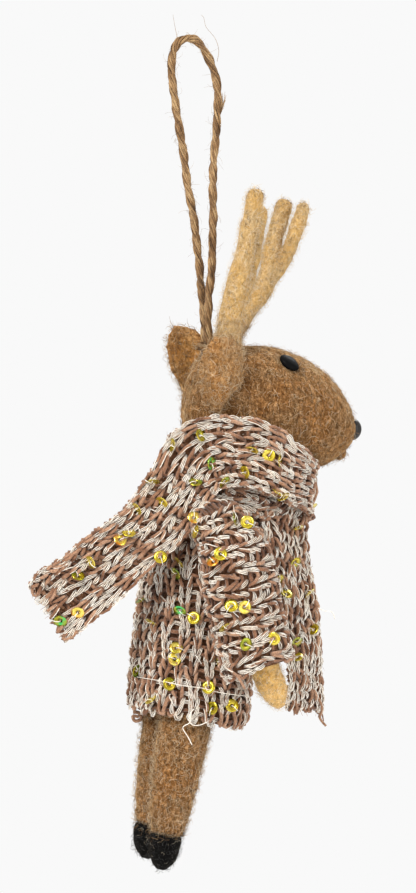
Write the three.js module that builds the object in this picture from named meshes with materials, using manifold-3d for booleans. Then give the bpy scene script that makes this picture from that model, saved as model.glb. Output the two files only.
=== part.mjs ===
// Felted reindeer ornament in knitwear, hanging from a loop of jute twine.
// Millimetres, +Z up. The origin is where a hook bears, on the inside of the loop's bend.
// The figure faces -Y, so its right side is at -X. Angles are radians.
import * as THREE from 'three'
import { mergeVertices } from 'three/addons/utils/BufferGeometryUtils.js'
import Module from 'manifold-3d'

const wasm = await Module()
wasm.setup()
const degree = Math.PI / 180

// Fits
const gap = 0.3
const overrun = 4

// Twine loop
const twine_radius = 1
const pivot_forward = 4.09
const pivot_drop = 69.26
const hang_lean = 8 * degree
const twine_steps = 34
const twine_sides = 8

// Knot inside the crown
const knot_radius = 2.3
const knot_depth = 9
const stem_half_width = 2.2
const pit_half_width = 3.4
const pit_radius = 2.05

// Head, measured from the crown where the twine leaves the felt
const head_length = 40.9
const head_height = 28.2
const head_width = 23.6
const head_back = 3.1

// Beads and mouth
const nose_radius = 2.6
const nose_bulge = 2.3
const nose_drop = 14.3
const nose_proud = 0.2
const eye_radius = 2.5
const eye_bulge = 1.15
const eye_side = 7.5
const eye_forward = 17.6
const eye_drop = 1.9
const eye_tilt = 36 * degree
const eye_pitch = 16 * degree
const mouth_half_width = 2.4
const mouth_bulge = 1.4
const mouth_half_height = 1.7
const mouth_drop = 20.2
const mouth_recess = 0.5

// Ears
const ear_height = 16.4
const ear_width = 11
const ear_thickness = 2.4
const ear_cup = 1.8
const ear_side = 10.6
const ear_splay = 4.6
const ear_forward = 1.6
const ear_rake = 2.6
const ear_right_drop = 15.6
const ear_left_drop = 12

// Antlers
const antler_height = 38
const antler_radius = 2.5

// Torso and sweater
const body_forward = 6.4
const sweater_half_width = 14.4
const sweater_half_depth = 14
const sweater_top_drop = 29
const sweater_length = 55.5
const knit_wall = 2
const hem_lobe = 1.9
const fold_height = 0.35
const neck_drop = 23

// Legs and hooves
const hip_side = 5.5
const hip_forward = 4.7
const hip_drop = 82.4
const leg_half_width = 4.9
const leg_half_depth = 6.1
const leg_right_length = 29
const leg_left_length = 27.9
const leg_lean = 2 * degree
const hoof_length = 7.8
const hoof_half_width = 3.4
const hoof_half_depth = 3.8
const seat_clearance = 2.2

// Arms and sleeves
const arm_clearance = 0.5
const arm_forward = 2.3
const arm_drop = 41
const arm_swing = 21.5 * degree
const arm_radius = 3.5
const arm_length = 42.2
const hand_forward = 3.6
const sleeve_length = 32.5
const sleeve_half_width = 6
const sleeve_half_depth = 8.7
const arm_side = sweater_half_width + arm_clearance + sleeve_half_width

// Scarf: a band round the neck, an end thrown back and an end hanging in front
const band_height = 14.5
const band_thickness = 2.8
const collar_top_half_width = 14.4
const collar_top_half_depth = 18.6
const collar_top_forward = 11.4
const collar_foot_half_width = 16.9
const collar_foot_half_depth = 20.8
const collar_foot_forward = 9.4
const collar_drop = 17.4
const collar_dip = 4.8
const collar_front_dip = 3.2
const strip_width = 15.4
const strip_thickness = 2.4
const tail_side = 13.7
const tail_forward = 6
const tail_drop = 26.5
const tail_reach = 53.4
const front_side = 8.2
const front_forward = 22.4
const front_drop = 28
const front_reach = 52.6
const front_turn = 54 * degree

// Colours
const felt_brown = 0xa0784b
const felt_pale = 0xdcb97d
const felt_ear = 0xb9966a
const felt_black = 0x1c1b1a
const knit_rose = 0xb39a8a
const jute = 0x966e46
const bead_black = 0x08080a

// Frame helpers: side is +X (the figure's left), forward is -Y, up is +Z
const at = (side, forward, up) => new THREE.Vector3(side, -forward, up)
const SIDE = at(1, 0, 0)
const FORWARD = at(0, 1, 0)
const UP = at(0, 0, 1)

// Rows of numbers joined by a Catmull-Rom curve; place runs from 0 to 1
function smoothRow(rows, place) {
  const spot = Math.min(place, 1) * (rows.length - 1)
  const first = Math.min(Math.floor(spot), rows.length - 2)
  const t = spot - first
  const pick = (index) => rows[Math.max(0, Math.min(rows.length - 1, index))]
  return rows[0].map((_, column) => {
    const [a, b, c, d] = [-1, 0, 1, 2].map((step) => pick(first + step)[column])
    return b + 0.5 * t * (c - a + t * (2 * a - 5 * b + 4 * c - d + t * (3 * (b - c) + d - a)))
  })
}

// Signed sixfold volume, which tells whether the faces point out
function sixfoldVolume(points, faces) {
  const cross = new THREE.Vector3()
  return faces.reduce((sum, [a, b, c]) => sum + points[a].dot(cross.crossVectors(points[b], points[c])), 0)
}

function closedGeometry(points, faces) {
  const outward = sixfoldVolume(points, faces) > 0 ? faces : faces.map(([a, b, c]) => [a, c, b])
  const geometry = new THREE.BufferGeometry()
  geometry.setAttribute('position', new THREE.Float32BufferAttribute(points.flatMap((p) => [p.x, p.y, p.z]), 3))
  geometry.setIndex(outward.flat())
  return geometry
}

// A skin through rings of equal count, closed by a fan at each end
function loft(rings) {
  const sides = rings[0].length
  const points = rings.flat()
  const faces = []
  for (let ring = 0; ring < rings.length - 1; ring++) {
    for (let side = 0; side < sides; side++) {
      const a = ring * sides + side
      const b = ring * sides + (side + 1) % sides
      faces.push([a, b, b + sides], [a, b + sides, a + sides])
    }
  }
  for (const [ring, flip] of [[0, true], [rings.length - 1, false]]) {
    const middle = new THREE.Vector3()
    rings[ring].forEach((p) => middle.addScaledVector(p, 1 / sides))
    points.push(middle)
    for (let side = 0; side < sides; side++) {
      const a = ring * sides + side
      const b = ring * sides + (side + 1) % sides
      faces.push(flip ? [points.length - 1, b, a] : [points.length - 1, a, b])
    }
  }
  return closedGeometry(points, faces)
}

// A skin through rings that run round and meet themselves
function ringLoft(rings) {
  const sides = rings[0].length
  const faces = []
  for (let ring = 0; ring < rings.length; ring++) {
    const next = (ring + 1) % rings.length
    for (let side = 0; side < sides; side++) {
      const across = (side + 1) % sides
      const [a, b] = [ring * sides + side, ring * sides + across]
      const [c, d] = [next * sides + across, next * sides + side]
      faces.push([a, b, c], [a, c, d])
    }
  }
  return closedGeometry(rings.flat(), faces)
}

// An oval ring about centre; shape may shift each point by its angle
function oval(centre, across, along, half_a, half_b, sides, shape = null) {
  return Array.from({ length: sides }, (_, index) => {
    const angle = index / sides * 2 * Math.PI
    const point = centre.clone()
    point.addScaledVector(across, half_a * Math.cos(angle)).addScaledVector(along, half_b * Math.sin(angle))
    if (shape) shape(point, angle)
    return point
  })
}

// A round limb along points with a radius at each, its ends rounded off
function limb(points, radii, sides, steps) {
  const path = new THREE.CatmullRomCurve3(points)
  const frames = path.computeFrenetFrames(steps, false)
  const rows = radii.map((radius) => [radius])
  const rings = []
  for (let step = 0; step <= steps; step++) {
    const place = step / steps
    const radius = smoothRow(rows, place)[0]
    rings.push(oval(path.getPointAt(place), frames.normals[step], frames.binormals[step], radius, radius, sides))
  }
  const cap_steps = 3
  for (const [place, step, way] of [[0, 0, -1], [1, steps, 1]]) {
    const radius = smoothRow(rows, place)[0]
    for (let cap = 1; cap <= cap_steps; cap++) {
      const angle = cap / (cap_steps + 0.4) * Math.PI / 2
      const centre = path.getPointAt(place).addScaledVector(frames.tangents[step], way * radius * Math.sin(angle))
      const small = radius * Math.cos(angle)
      const ring = oval(centre, frames.normals[step], frames.binormals[step], small, small, sides)
      if (way < 0) rings.unshift(ring)
      else rings.push(ring)
    }
  }
  return loft(rings)
}

// Joins and cuts
function solidOf(geometry) {
  const bare = geometry.clone()
  bare.deleteAttribute('normal')
  bare.deleteAttribute('uv')
  const merged = mergeVertices(bare)
  const mesh = new wasm.Mesh({
    numProp: 3,
    vertProperties: new Float32Array(merged.attributes.position.array),
    triVerts: new Uint32Array(merged.index.array),
  })
  return new wasm.Manifold(mesh)
}

function geometryOf(solid) {
  const mesh = solid.getMesh()
  const geometry = new THREE.BufferGeometry()
  geometry.setAttribute('position', new THREE.BufferAttribute(new Float32Array(mesh.vertProperties), 3))
  geometry.setIndex(new THREE.BufferAttribute(new Uint32Array(mesh.triVerts), 1))
  return geometry
}

const join = (...shapes) => geometryOf(shapes.map(solidOf).reduce((all, next) => all.add(next)))

function cut(body, ...tools) {
  return geometryOf(tools.map(solidOf).reduce((left, tool) => left.subtract(tool), solidOf(body)))
}

function piece(name, geometry, colour, roughness = 1) {
  const material = new THREE.MeshStandardMaterial({ color: colour, roughness, metalness: 0 })
  const mesh = new THREE.Mesh(geometry, material)
  geometry.computeVertexNormals()
  mesh.name = name
  return mesh
}

// Twine loop: up the strand nearest the right side, over the bend and down again
const twine_route = [
  [-1.25, 4.09, -67.96], [-1.25, 3.9, -63], [-1.25, 4.1, -57.7], [-1.2, 4.7, -52.5],
  [-0.9, 5.1, -46.3], [-0.6, 5.4, -39.4], [-0.3, 5.5, -34.2], [0, 5.8, -27.3],
  [0, 6.4, -21.1], [0, 6.9, -15.8], [0, 7.2, -11.4], [0, 6.4, -7.2],
  [0, 4.4, -2.7], [0, 2.1, 0.2], [0, -0.3, 1], [0, -2.7, 0.2],
  [0, -4.4, -2.4], [0, -4.7, -7.8], [0, -3.6, -14.2], [0, -2.1, -21.4],
  [0.3, -0.8, -29.8], [0.6, 0.6, -37], [0.9, 1.9, -44.3], [1.2, 2.9, -52.5],
  [1.25, 3.4, -57.3], [1.25, 3.9, -63], [1.25, 4.09, -67.96],
]

function twineLoop() {
  const path = new THREE.CatmullRomCurve3(twine_route.map(([side, forward, up]) => at(side, forward, up)))
  const round = new THREE.EllipseCurve(0, 0, twine_radius, twine_radius)
  const section = new THREE.Shape(round.getPoints(twine_sides).slice(0, -1))
  return new THREE.ExtrudeGeometry(section, { steps: twine_steps, extrudePath: path, bevelEnabled: false })
}

// Knot: the stem's domed top lies under the strands, so the twine can swing over it
function knotStem(grow) {
  const rings = []
  const dome_steps = 4
  for (let step = dome_steps; step >= 0; step--) {
    const angle = step / (dome_steps + 0.3) * Math.PI / 2
    const depth = (twine_radius + grow) * Math.cos(angle)
    const width = stem_half_width + grow - (twine_radius + grow) * (1 - Math.cos(angle))
    rings.push(oval(at(0, 0, (twine_radius + grow) * Math.sin(angle) - twine_radius), SIDE, FORWARD, width, depth, 16))
  }
  rings.push(oval(at(0, 0, -knot_depth), SIDE, FORWARD, stem_half_width + grow, twine_radius + grow, 16))
  return loft(rings)
}

function ball(centre, radii, turn = null, detail = 14) {
  const geometry = new THREE.SphereGeometry(1, detail, Math.round(detail * 0.7))
  geometry.scale(...radii)
  if (turn) geometry.applyQuaternion(turn)
  return geometry.translate(centre.x, centre.y, centre.z)
}

function twineKnot(grow) {
  const radius = knot_radius + grow
  return join(knotStem(grow), ball(at(0, 0, -knot_depth), [radius, radius, radius * 0.85]))
}

// Swing room: a dent in the crown that the strands' ends turn in
const crownPit = () => ball(at(0, 0, -twine_radius), [pit_half_width, pit_radius, pit_radius])

// Head: forward from the back, top and bottom from the crown, half width
const head_shares = [
  [0, -0.41, -0.52, 0.14], [0.01, -0.28, -0.66, 0.42], [0.04, -0.135, -0.76, 0.64], [0.086, -0.006, -0.837, 0.8],
  [0.18, 0.018, -0.894, 0.93], [0.3, 0.036, -0.929, 1], [0.452, 0.057, -0.943, 0.99], [0.57, 0.04, -0.936, 0.92],
  [0.712, -0.025, -0.908, 0.79], [0.824, -0.117, -0.858, 0.67], [0.907, -0.227, -0.79, 0.56],
  [0.962, -0.33, -0.715, 0.45], [0.99, -0.425, -0.63, 0.3], [1, -0.5, -0.56, 0.12],
]
const head_rings = 22
const head_sides = 24

function headForm(grow) {
  const rings = []
  for (let ring = 0; ring <= head_rings; ring++) {
    const [forward_share, top_share, bottom_share, width_share] = smoothRow(head_shares, ring / head_rings)
    const end_push = grow * (2 * ring / head_rings - 1)
    const forward = forward_share * head_length - head_back + end_push
    const middle = (top_share + bottom_share) / 2 * head_height
    const half_height = (top_share - bottom_share) / 2 * head_height + grow
    rings.push(oval(at(0, forward, middle), SIDE, UP, width_share * head_width / 2 + grow, half_height, head_sides))
  }
  return loft(rings)
}
const head_front = head_length - head_back

const nose = (grow) => ball(at(0, head_front + nose_proud, -nose_drop),
  [nose_radius + grow, nose_bulge + grow, nose_radius + grow])
const mouth = (grow) => ball(at(0, head_front - mouth_bulge - mouth_recess, -mouth_drop),
  [mouth_half_width + grow, mouth_bulge + grow, mouth_half_height + grow], null, 12)

function eye(side, grow) {
  const level = Math.cos(eye_pitch)
  const facing = at(side * Math.sin(eye_tilt) * level, Math.sin(eye_pitch), Math.cos(eye_tilt) * level)
  const turn = new THREE.Quaternion().setFromUnitVectors(UP, facing)
  const radii = [eye_radius + grow, eye_radius + grow, eye_bulge + grow]
  return ball(at(side * eye_side, eye_forward, -eye_drop), radii, turn)
}

function headSolid() {
  return cut(headForm(0), twineKnot(gap), crownPit(), nose(gap), mouth(gap), eye(1, gap), eye(-1, gap))
}

// Ears: upright leaves cupped towards the middle, half width by height
const ear_shares = [[0.4], [0.72], [0.92], [1], [1], [0.96], [0.82], [0.5]]

function earForm(side, drop) {
  const rings = []
  const ear_rings = 12
  for (let ring = 0; ring <= ear_rings; ring++) {
    const place = ring / ear_rings
    const width = smoothRow(ear_shares, place)[0] * ear_width / 2
    const thickness = ear_thickness / 2 * (1 - place / 2)
    const middle = at(side * (ear_side + ear_splay * place), ear_forward - ear_rake * place, place * ear_height - drop)
    rings.push(oval(middle, FORWARD, SIDE, width, thickness, 16, (point, angle) => {
      point.x -= side * ear_cup * Math.cos(angle) ** 2 * width / ear_width * 2
    }))
  }
  return cut(loft(rings), headForm(gap))
}

// Antlers: side, forward and up of each tine as shares of the antler's height
const antler_right_shares = [
  [-0.158, 0.1, -0.08], [-0.168, 0.071, 0.047], [-0.184, 0.058, 0.208], [-0.21, 0.066, 0.402],
  [-0.25, 0.071, 0.599], [-0.29, 0.071, 0.789], [-0.312, 0.066, 0.883],
]
const antler_right_fork_shares = [
  [-0.184, 0.075, 0.2], [-0.155, 0.145, 0.44], [-0.14, 0.168, 0.65], [-0.14, 0.174, 0.82],
]
const antler_left_shares = [
  [0.15, 0.12, -0.08], [0.138, 0.195, 0.118], [0.135, 0.27, 0.261], [0.14, 0.352, 0.38],
  [0.15, 0.385, 0.5], [0.184, 0.4, 0.666], [0.215, 0.435, 0.82], [0.237, 0.46, 0.93],
]
const antler_left_fork_shares = [
  [0.14, 0.36, 0.38], [0.136, 0.43, 0.5], [0.125, 0.475, 0.6], [0.11, 0.498, 0.72], [0.08, 0.53, 0.913],
]
const stem_taper_shares = [1.2, 1.14, 1.06, 0.96, 0.86, 0.82, 0.8]
const fork_taper_shares = { right: [0.76, 0.76, 0.74, 0.7], left: [0.54, 0.56, 0.64, 0.7, 0.68] }

function antlerForm(stem_shares, fork_shares, fork_taper) {
  const place = ([side, forward, up]) => at(side * antler_height, forward * antler_height, up * antler_height)
  const stem = limb(stem_shares.map(place), stem_taper_shares.map((share) => share * antler_radius), 12, 16)
  const fork = limb(fork_shares.map(place), fork_taper.map((share) => share * antler_radius), 10, 9)
  return cut(join(stem, fork), headForm(gap))
}

// Sweater: drop below its top as a share of its length, half width and half depth
const sweater_shares = [
  [0, 0.6, 0.6], [0.035, 0.76, 0.74], [0.106, 0.92, 0.9], [0.195, 0.985, 0.97], [0.3, 1, 1],
  [0.55, 1, 1], [0.8, 1, 1.015], [0.93, 1.012, 1.015], [1, 0.99, 1],
]
const sweater_rings = 11
const body_sides = 28
const fold_count = 5
const lobe_angle = 155 * degree

// One level of the knit tube, its folds growing towards the hem
function bodyRing(place, grow, extra_drop = 0) {
  const [drop_share, width_share, depth_share] = smoothRow(sweater_shares, place)
  const middle = at(0, body_forward, -sweater_top_drop - drop_share * sweater_length - extra_drop)
  const width = width_share * sweater_half_width + grow
  const depth = depth_share * sweater_half_depth + grow
  return oval(middle, SIDE, FORWARD, width, depth, body_sides, (point, angle) => {
    const fold = fold_height * place ** 2 * Math.cos(fold_count * angle)
    point.addScaledVector(SIDE, fold * Math.cos(angle)).addScaledVector(FORWARD, fold * Math.sin(angle))
    point.z -= hem_lobe * place ** 6 * Math.max(0, Math.cos(angle - lobe_angle)) ** 6
  })
}

function bodyForm(grow, from, to, tail_drop_before, tail_drop_after) {
  const rings = []
  if (tail_drop_before) rings.push(bodyRing(from, grow, -tail_drop_before))
  for (let ring = 0; ring <= sweater_rings; ring++) {
    rings.push(bodyRing(from + (to - from) * ring / sweater_rings, grow))
  }
  if (tail_drop_after) rings.push(bodyRing(to, grow, tail_drop_after))
  return loft(rings)
}

const sweaterBody = () => cut(bodyForm(0, 0, 1, 0, 0), bodyForm(-knit_wall, 0, 1, overrun, overrun))

// Torso: fills the knit tube from the neck under the head to just over the hips
function torsoSolid() {
  const neck = sweater_top_drop - neck_drop
  const seat_drop = hip_drop - seat_clearance
  const form = bodyForm(-knit_wall - gap, 0, 1, neck, 0)
  const reach = sweater_half_width + overrun
  const depth = hip_drop
  const below = new THREE.BoxGeometry(2 * reach, 2 * reach, depth)
  below.translate(0, -body_forward, -seat_drop - depth / 2)
  return cut(form, below, headForm(gap), hipBall(1, gap), hipBall(-1, gap))
}

// Legs: a ball at the hip that turns under the torso, and a taper down to the hoof
const hipPlace = (side) => at(side * hip_side, hip_forward, -hip_drop)

function hipBall(side, grow) {
  return ball(hipPlace(side), [leg_half_width + grow, leg_half_depth + grow, leg_half_depth + grow], null, 20)
}

const leg_shares = [
  [0, 1, 1], [0.12, 1, 1], [0.32, 0.97, 0.96], [0.55, 0.9, 0.89], [0.8, 0.79, 0.77], [0.93, 0.7, 0.66], [1, 0.66, 0.6],
]
const hoof_shares = [
  [0, 0.98, 0.98], [0.25, 1, 1], [0.5, 0.93, 0.92], [0.75, 0.74, 0.7], [0.93, 0.46, 0.42], [1, 0.24, 0.2],
]

function taper(table, length, half_width, half_depth, sides, count, start = 0) {
  return Array.from({ length: count + 1 }, (_, ring) => {
    const [drop_share, width_share, depth_share] = smoothRow(table, ring / count)
    const middle = at(0, 0, -start - drop_share * length)
    return oval(middle, SIDE, FORWARD, width_share * half_width, depth_share * half_depth, sides)
  })
}

// A dome of rings over the top of a limb, round when seen from the side
function dome(half_width, radius, sides, steps) {
  return Array.from({ length: steps }, (_, step) => {
    const angle = (steps - step) / (steps + 0.35) * Math.PI / 2
    const share = Math.cos(angle)
    return oval(at(0, 0, radius * Math.sin(angle)), SIDE, FORWARD, half_width * share, radius * share, sides)
  })
}

function legForm(length) {
  const rings = dome(leg_half_width, leg_half_depth, 20, 5)
  rings.push(...taper(leg_shares, length, leg_half_width, leg_half_depth, 20, 9))
  return loft(rings)
}
function hoofForm(leg) {
  return loft(taper(hoof_shares, hoof_length, hoof_half_width, hoof_half_depth, 18, 8, leg + gap))
}

// Arms and sleeves, hanging from the shoulder
const arm_shares = [
  [0, 1, 1], [0.4, 0.97, 0.97], [0.75, 0.93, 0.95], [0.87, 0.92, 0.96], [0.94, 0.74, 0.76], [0.985, 0.42, 0.42], [1, 0.2, 0.2],
]
const sleeve_shares = [[0, 0.93, 0.83], [0.2, 0.97, 0.92], [0.5, 1, 0.99], [0.8, 1, 1.01], [1, 0.98, 1]]

// The arm bends forward towards the hand
function armForm() {
  const rings = dome(arm_radius, arm_radius, 16, 4)
  for (const ring of taper(arm_shares, arm_length, arm_radius, arm_radius, 16, 12)) {
    const bend = hand_forward * (ring[0].z / arm_length) ** 2
    rings.push(ring.map((point) => point.addScaledVector(FORWARD, bend)))
  }
  return loft(rings)
}

function sleeveSkin(inset, extra) {
  const width = sleeve_half_width - inset
  const depth = sleeve_half_depth - inset
  const rings = taper(sleeve_shares, sleeve_length, width, depth, 20, 8)
  const first = sleeve_shares[0]
  const crown = dome(first[1] * width, first[2] * depth, 20, 4)
  const lowest = rings[rings.length - 1].map((point) => point.clone().addScaledVector(UP, -extra))
  return loft(extra ? [...crown, ...rings, lowest] : [...crown, ...rings])
}
const sleeveForm = () => cut(sleeveSkin(0, 0), sleeveSkin(knit_wall, overrun))

// Scarf band round the neck: the angle runs from the left side through the front
const collar_rings = 30
const section_sides = 12

// A strip's section: half width along one way, thicker where its edges roll
function stripSection(middle, across, through, half_width, half_thickness) {
  const edge_roll_share = 0.35
  return Array.from({ length: section_sides }, (_, index) => {
    const angle = index / section_sides * 2 * Math.PI
    const spread = Math.sign(Math.cos(angle)) * Math.abs(Math.cos(angle)) ** 0.5
    const lift = Math.sign(Math.sin(angle)) * Math.abs(Math.sin(angle)) ** 0.6
    const thick = half_thickness * (1 + edge_roll_share * spread ** 4)
    return middle.clone().addScaledVector(across, half_width * spread).addScaledVector(through, thick * lift)
  })
}

function collarForm() {
  const rings = Array.from({ length: collar_rings }, (_, index) => {
    const angle = index / collar_rings * 2 * Math.PI
    const [c, s] = [Math.cos(angle), Math.sin(angle)]
    const level_drop = collar_drop + collar_dip * s * s
    const top_drop = level_drop + collar_front_dip * Math.max(0, s) ** 2
    const inset = band_thickness / 2
    const top = at((collar_top_half_width - inset) * c, collar_top_forward + (collar_top_half_depth - inset) * s, -top_drop)
    const foot_depth = collar_foot_half_depth - inset
    const foot = at((collar_foot_half_width - inset) * c, collar_foot_forward + foot_depth * s, -level_drop - band_height)
    const across = foot.clone().sub(top)
    const half_width = across.length() / 2
    across.normalize()
    const out = at(c, s, 0)
    const through = out.addScaledVector(across, -out.dot(across)).normalize()
    return stripSection(top.clone().add(foot).multiplyScalar(0.5), across, through, half_width, band_thickness / 2)
  })
  return ringLoft(rings)
}

// A hanging end: a strip along points, its face turned by the given sideways way
function stripForm(points, faceAt, steps) {
  const path = new THREE.CatmullRomCurve3(points)
  const rings = []
  for (let step = 0; step <= steps; step++) {
    const place = step / steps
    const along = path.getTangentAt(place)
    const face = faceAt(place)
    const through = face.clone().addScaledVector(along, -face.dot(along)).normalize()
    const across = new THREE.Vector3().crossVectors(along, through)
    rings.push(stripSection(path.getPointAt(place), across, through, strip_width / 2, strip_thickness / 2))
  }
  return loft(rings)
}

// Side, forward and up from where each end leaves the band, as shares of its reach
const tail_shares = [
  [0, 0, 0], [0.004, -0.105, -0.028], [0.02, -0.19, -0.095], [0.04, -0.299, -0.278],
  [0.03, -0.411, -0.434], [0.07, -0.514, -0.512], [0.075, -0.69, -0.7],
]
const front_shares = [[0, 0, 0], [0, -0.012, -0.211], [0.006, 0.082, -0.498], [-0.004, 0.146, -0.73], [0, 0.188, -0.97]]

function scarfSolid() {
  const tail_root = at(-tail_side, tail_forward, -tail_drop)
  const front_root = at(-front_side, front_forward, -front_drop)
  const place = (root, reach) => ([side, forward, up]) => root.clone().add(at(side * reach, forward * reach, up * reach))
  const tail = stripForm(tail_shares.map(place(tail_root, tail_reach)), () => SIDE, 14)
  const front_face = at(-Math.sin(front_turn), Math.cos(front_turn), 0)
  const front = stripForm(front_shares.map(place(front_root, front_reach)), () => front_face, 12)
  return cut(join(collarForm(), tail, front), headForm(gap), bodyForm(gap, 0, 1, overrun, 0))
}

// Assembly
const ornament = new THREE.Group()
ornament.add(piece('twine_loop', twineLoop(), jute))

const figure = new THREE.Group()
figure.position.copy(at(0, pivot_forward, -pivot_drop))
figure.rotation.x = hang_lean
ornament.add(figure)

const crown = new THREE.Group()
crown.position.z = twine_radius
figure.add(crown)

crown.add(piece('twine_knot', twineKnot(0), jute))
crown.add(piece('head', headSolid(), felt_brown))
crown.add(piece('nose_bead', nose(0), bead_black, 0.15))
crown.add(piece('mouth', mouth(0), felt_brown))
crown.add(piece('torso', torsoSolid(), felt_brown))
crown.add(piece('sweater_body', sweaterBody(), knit_rose))
crown.add(piece('scarf', scarfSolid(), knit_rose))
const antler_right = antlerForm(antler_right_shares, antler_right_fork_shares, fork_taper_shares.right)
const antler_left = antlerForm(antler_left_shares, antler_left_fork_shares, fork_taper_shares.left)
crown.add(piece('antler_right', antler_right, felt_pale))
crown.add(piece('antler_left', antler_left, felt_pale))

const sides = [['right', -1, ear_right_drop, leg_right_length], ['left', 1, ear_left_drop, leg_left_length]]
for (const [name, side, ear_drop, leg_length] of sides) {
  crown.add(piece(`eye_${name}`, eye(side, 0), bead_black, 0.15))
  crown.add(piece(`ear_${name}`, earForm(side, ear_drop), felt_ear))

  const arm = new THREE.Group()
  arm.position.copy(at(side * arm_side, arm_forward, -arm_drop))
  arm.rotation.x = -arm_swing
  arm.add(piece(`arm_${name}`, armForm(), felt_pale))
  arm.add(piece(`sleeve_${name}`, sleeveForm(), knit_rose))
  crown.add(arm)

  const leg = new THREE.Group()
  leg.position.copy(hipPlace(side))
  leg.rotation.x = leg_lean
  leg.add(piece(`leg_${name}`, legForm(leg_length), felt_brown))
  leg.add(piece(`hoof_${name}`, hoofForm(leg_length), felt_black))
  crown.add(leg)
}

export default ornament
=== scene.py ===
# Looks of the felted reindeer ornament: felt, beads, jute twine and knitwear.
# Lengths are millimetres in the figure's own frame (side, forward, up from the crown)
# until a mesh is made, and metres in Blender.
import math

import bpy
import numpy as np
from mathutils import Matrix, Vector
from mathutils.bvhtree import BVHTree


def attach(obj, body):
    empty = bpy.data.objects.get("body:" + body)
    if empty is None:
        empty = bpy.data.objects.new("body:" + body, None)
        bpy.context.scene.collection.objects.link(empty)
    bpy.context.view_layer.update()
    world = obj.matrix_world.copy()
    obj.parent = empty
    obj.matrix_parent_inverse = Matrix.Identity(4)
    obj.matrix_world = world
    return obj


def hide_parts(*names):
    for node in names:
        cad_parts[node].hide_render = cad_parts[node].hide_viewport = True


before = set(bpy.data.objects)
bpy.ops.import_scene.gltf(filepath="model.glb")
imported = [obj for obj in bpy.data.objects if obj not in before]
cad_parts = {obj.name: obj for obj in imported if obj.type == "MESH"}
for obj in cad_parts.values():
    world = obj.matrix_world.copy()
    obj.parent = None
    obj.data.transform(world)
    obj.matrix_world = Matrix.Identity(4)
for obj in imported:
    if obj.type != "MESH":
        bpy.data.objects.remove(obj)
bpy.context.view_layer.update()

MM = 0.001
TURN = 2 * math.pi
slanting = (0.31, 0.57, 0.76)
cell_margin = 0.06
image_width, image_height = 416, 893
white = (255, 255, 255)
both_sides = (("right", -1), ("left", 1))
noise_waves = 9

# Camera: behind the right side, level with the figure's middle
camera_target = (0, -4.379, -91.7)
camera_azimuth = math.radians(250)
camera_distance = 700
picture_height = 204.16
sensor_height = 36

# The figure hangs turned by this lean about the point where the twine leaves the crown
twine_radius = 1
pivot_forward = 4.09
pivot_drop = 69.26
hang_lean = math.radians(8)

# Sweater
body_forward = 6.4
sweater_half_width = 14.4
sweater_half_depth = 14
sweater_top_drop = 29
sweater_length = 55.5
hem_lobe = 1.9
lobe_angle = math.radians(155)
fold_height = 0.35
fold_count = 5
knit_inset = 0.8

# Arms and sleeves
arm_side = 20.9
arm_forward = 2.3
arm_drop = 41
arm_swing = math.radians(21.5)
sleeve_length = 32.5
sleeve_half_width = 6
sleeve_half_depth = 8.7

# Scarf
band_height = 14.5
band_inset = 1.4
collar_top = (14.4, 18.6, 11.4)
collar_foot = (16.9, 20.8, 9.4)
collar_drop = 17.4
collar_dip = 4.8
collar_front_dip = 3.2
strip_width = 15.4

# Yarn
brown_radius = 0.43
silver_radius = 0.12
silver_breadth = 0.35
silver_height = 0.12
silver_pitch = 3.4
silver_filaments = 3
leg_samples = 6
hair_points = 4
edge_inset = 0.16
strip_sink = 0.4
row_pitch = 2.1
fluff_radii = (0.03, 0.03, 0.026, 0.012)


# Numbers


def generator(seed):
    return np.random.default_rng(seed)


def unit(vectors):
    return vectors / np.maximum(np.linalg.norm(vectors, axis=-1, keepdims=True), 1e-9)


def smooth_rows(rows, place):
    """Rows of numbers joined by a Catmull-Rom curve; place runs from 0 to 1."""
    rows = np.asarray(rows, float)
    spot = np.clip(np.asarray(place, float), 0, 1) * (len(rows) - 1)
    first = np.minimum(spot.astype(int), len(rows) - 2)
    t = (spot - first)[..., None]
    a, b, c, d = (rows[np.clip(first + step, 0, len(rows) - 1)] for step in (-1, 0, 1, 2))
    return b + 0.5 * t * (c - a + t * (2 * a - 5 * b + 4 * c - d + t * (3 * (b - c) + d - a)))


def run_along(points):
    """How far along the line through them the points lie."""
    return np.concatenate([[0], np.cumsum(np.linalg.norm(np.diff(points, axis=0), axis=1))])


def even_curve(points, count):
    """Points at equal steps along the smooth curve through the given ones."""
    fine = smooth_rows(points, np.linspace(0, 1, 40 * len(points)))
    length = run_along(fine)
    steps = np.linspace(0, length[-1], count)
    return np.stack([np.interp(steps, length, fine[:, axis]) for axis in range(3)], axis=1)


def lumps(points, size, seed):
    """Smooth noise from -1 to 1 with lumps of about the given size."""
    draw = generator(seed)
    ways = unit(draw.normal(size=(noise_waves, points.shape[-1])))
    pace = TURN / size * draw.uniform(0.5, 1.4, noise_waves)
    shift = draw.uniform(0, TURN, noise_waves)
    return np.sin(points @ (ways * pace[:, None]).T + shift).sum(-1) / math.sqrt(noise_waves)


def step_between(low, high, value):
    t = np.clip((value - low) / (high - low), 0, 1)
    return t * t * (3 - 2 * t)


# Frames


def at(side, forward, up):
    """Points of the figure's frame from arrays or numbers."""
    return np.stack(np.broadcast_arrays(side, forward, up), axis=-1).astype(float)


def figure_to_world(points):
    y = -points[..., 1]
    z = points[..., 2] + twine_radius
    c, s = math.cos(hang_lean), math.sin(hang_lean)
    return np.stack([points[..., 0], y * c - z * s - pivot_forward, y * s + z * c - pivot_drop], axis=-1)


def arm_to_figure(points, side):
    c, s = math.cos(arm_swing), math.sin(arm_swing)
    forward = points[..., 1] * c - points[..., 2] * s + arm_forward
    up = points[..., 1] * s + points[..., 2] * c - arm_drop
    return np.stack([points[..., 0] + side * arm_side, forward, up], axis=-1)


# Meshes


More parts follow.
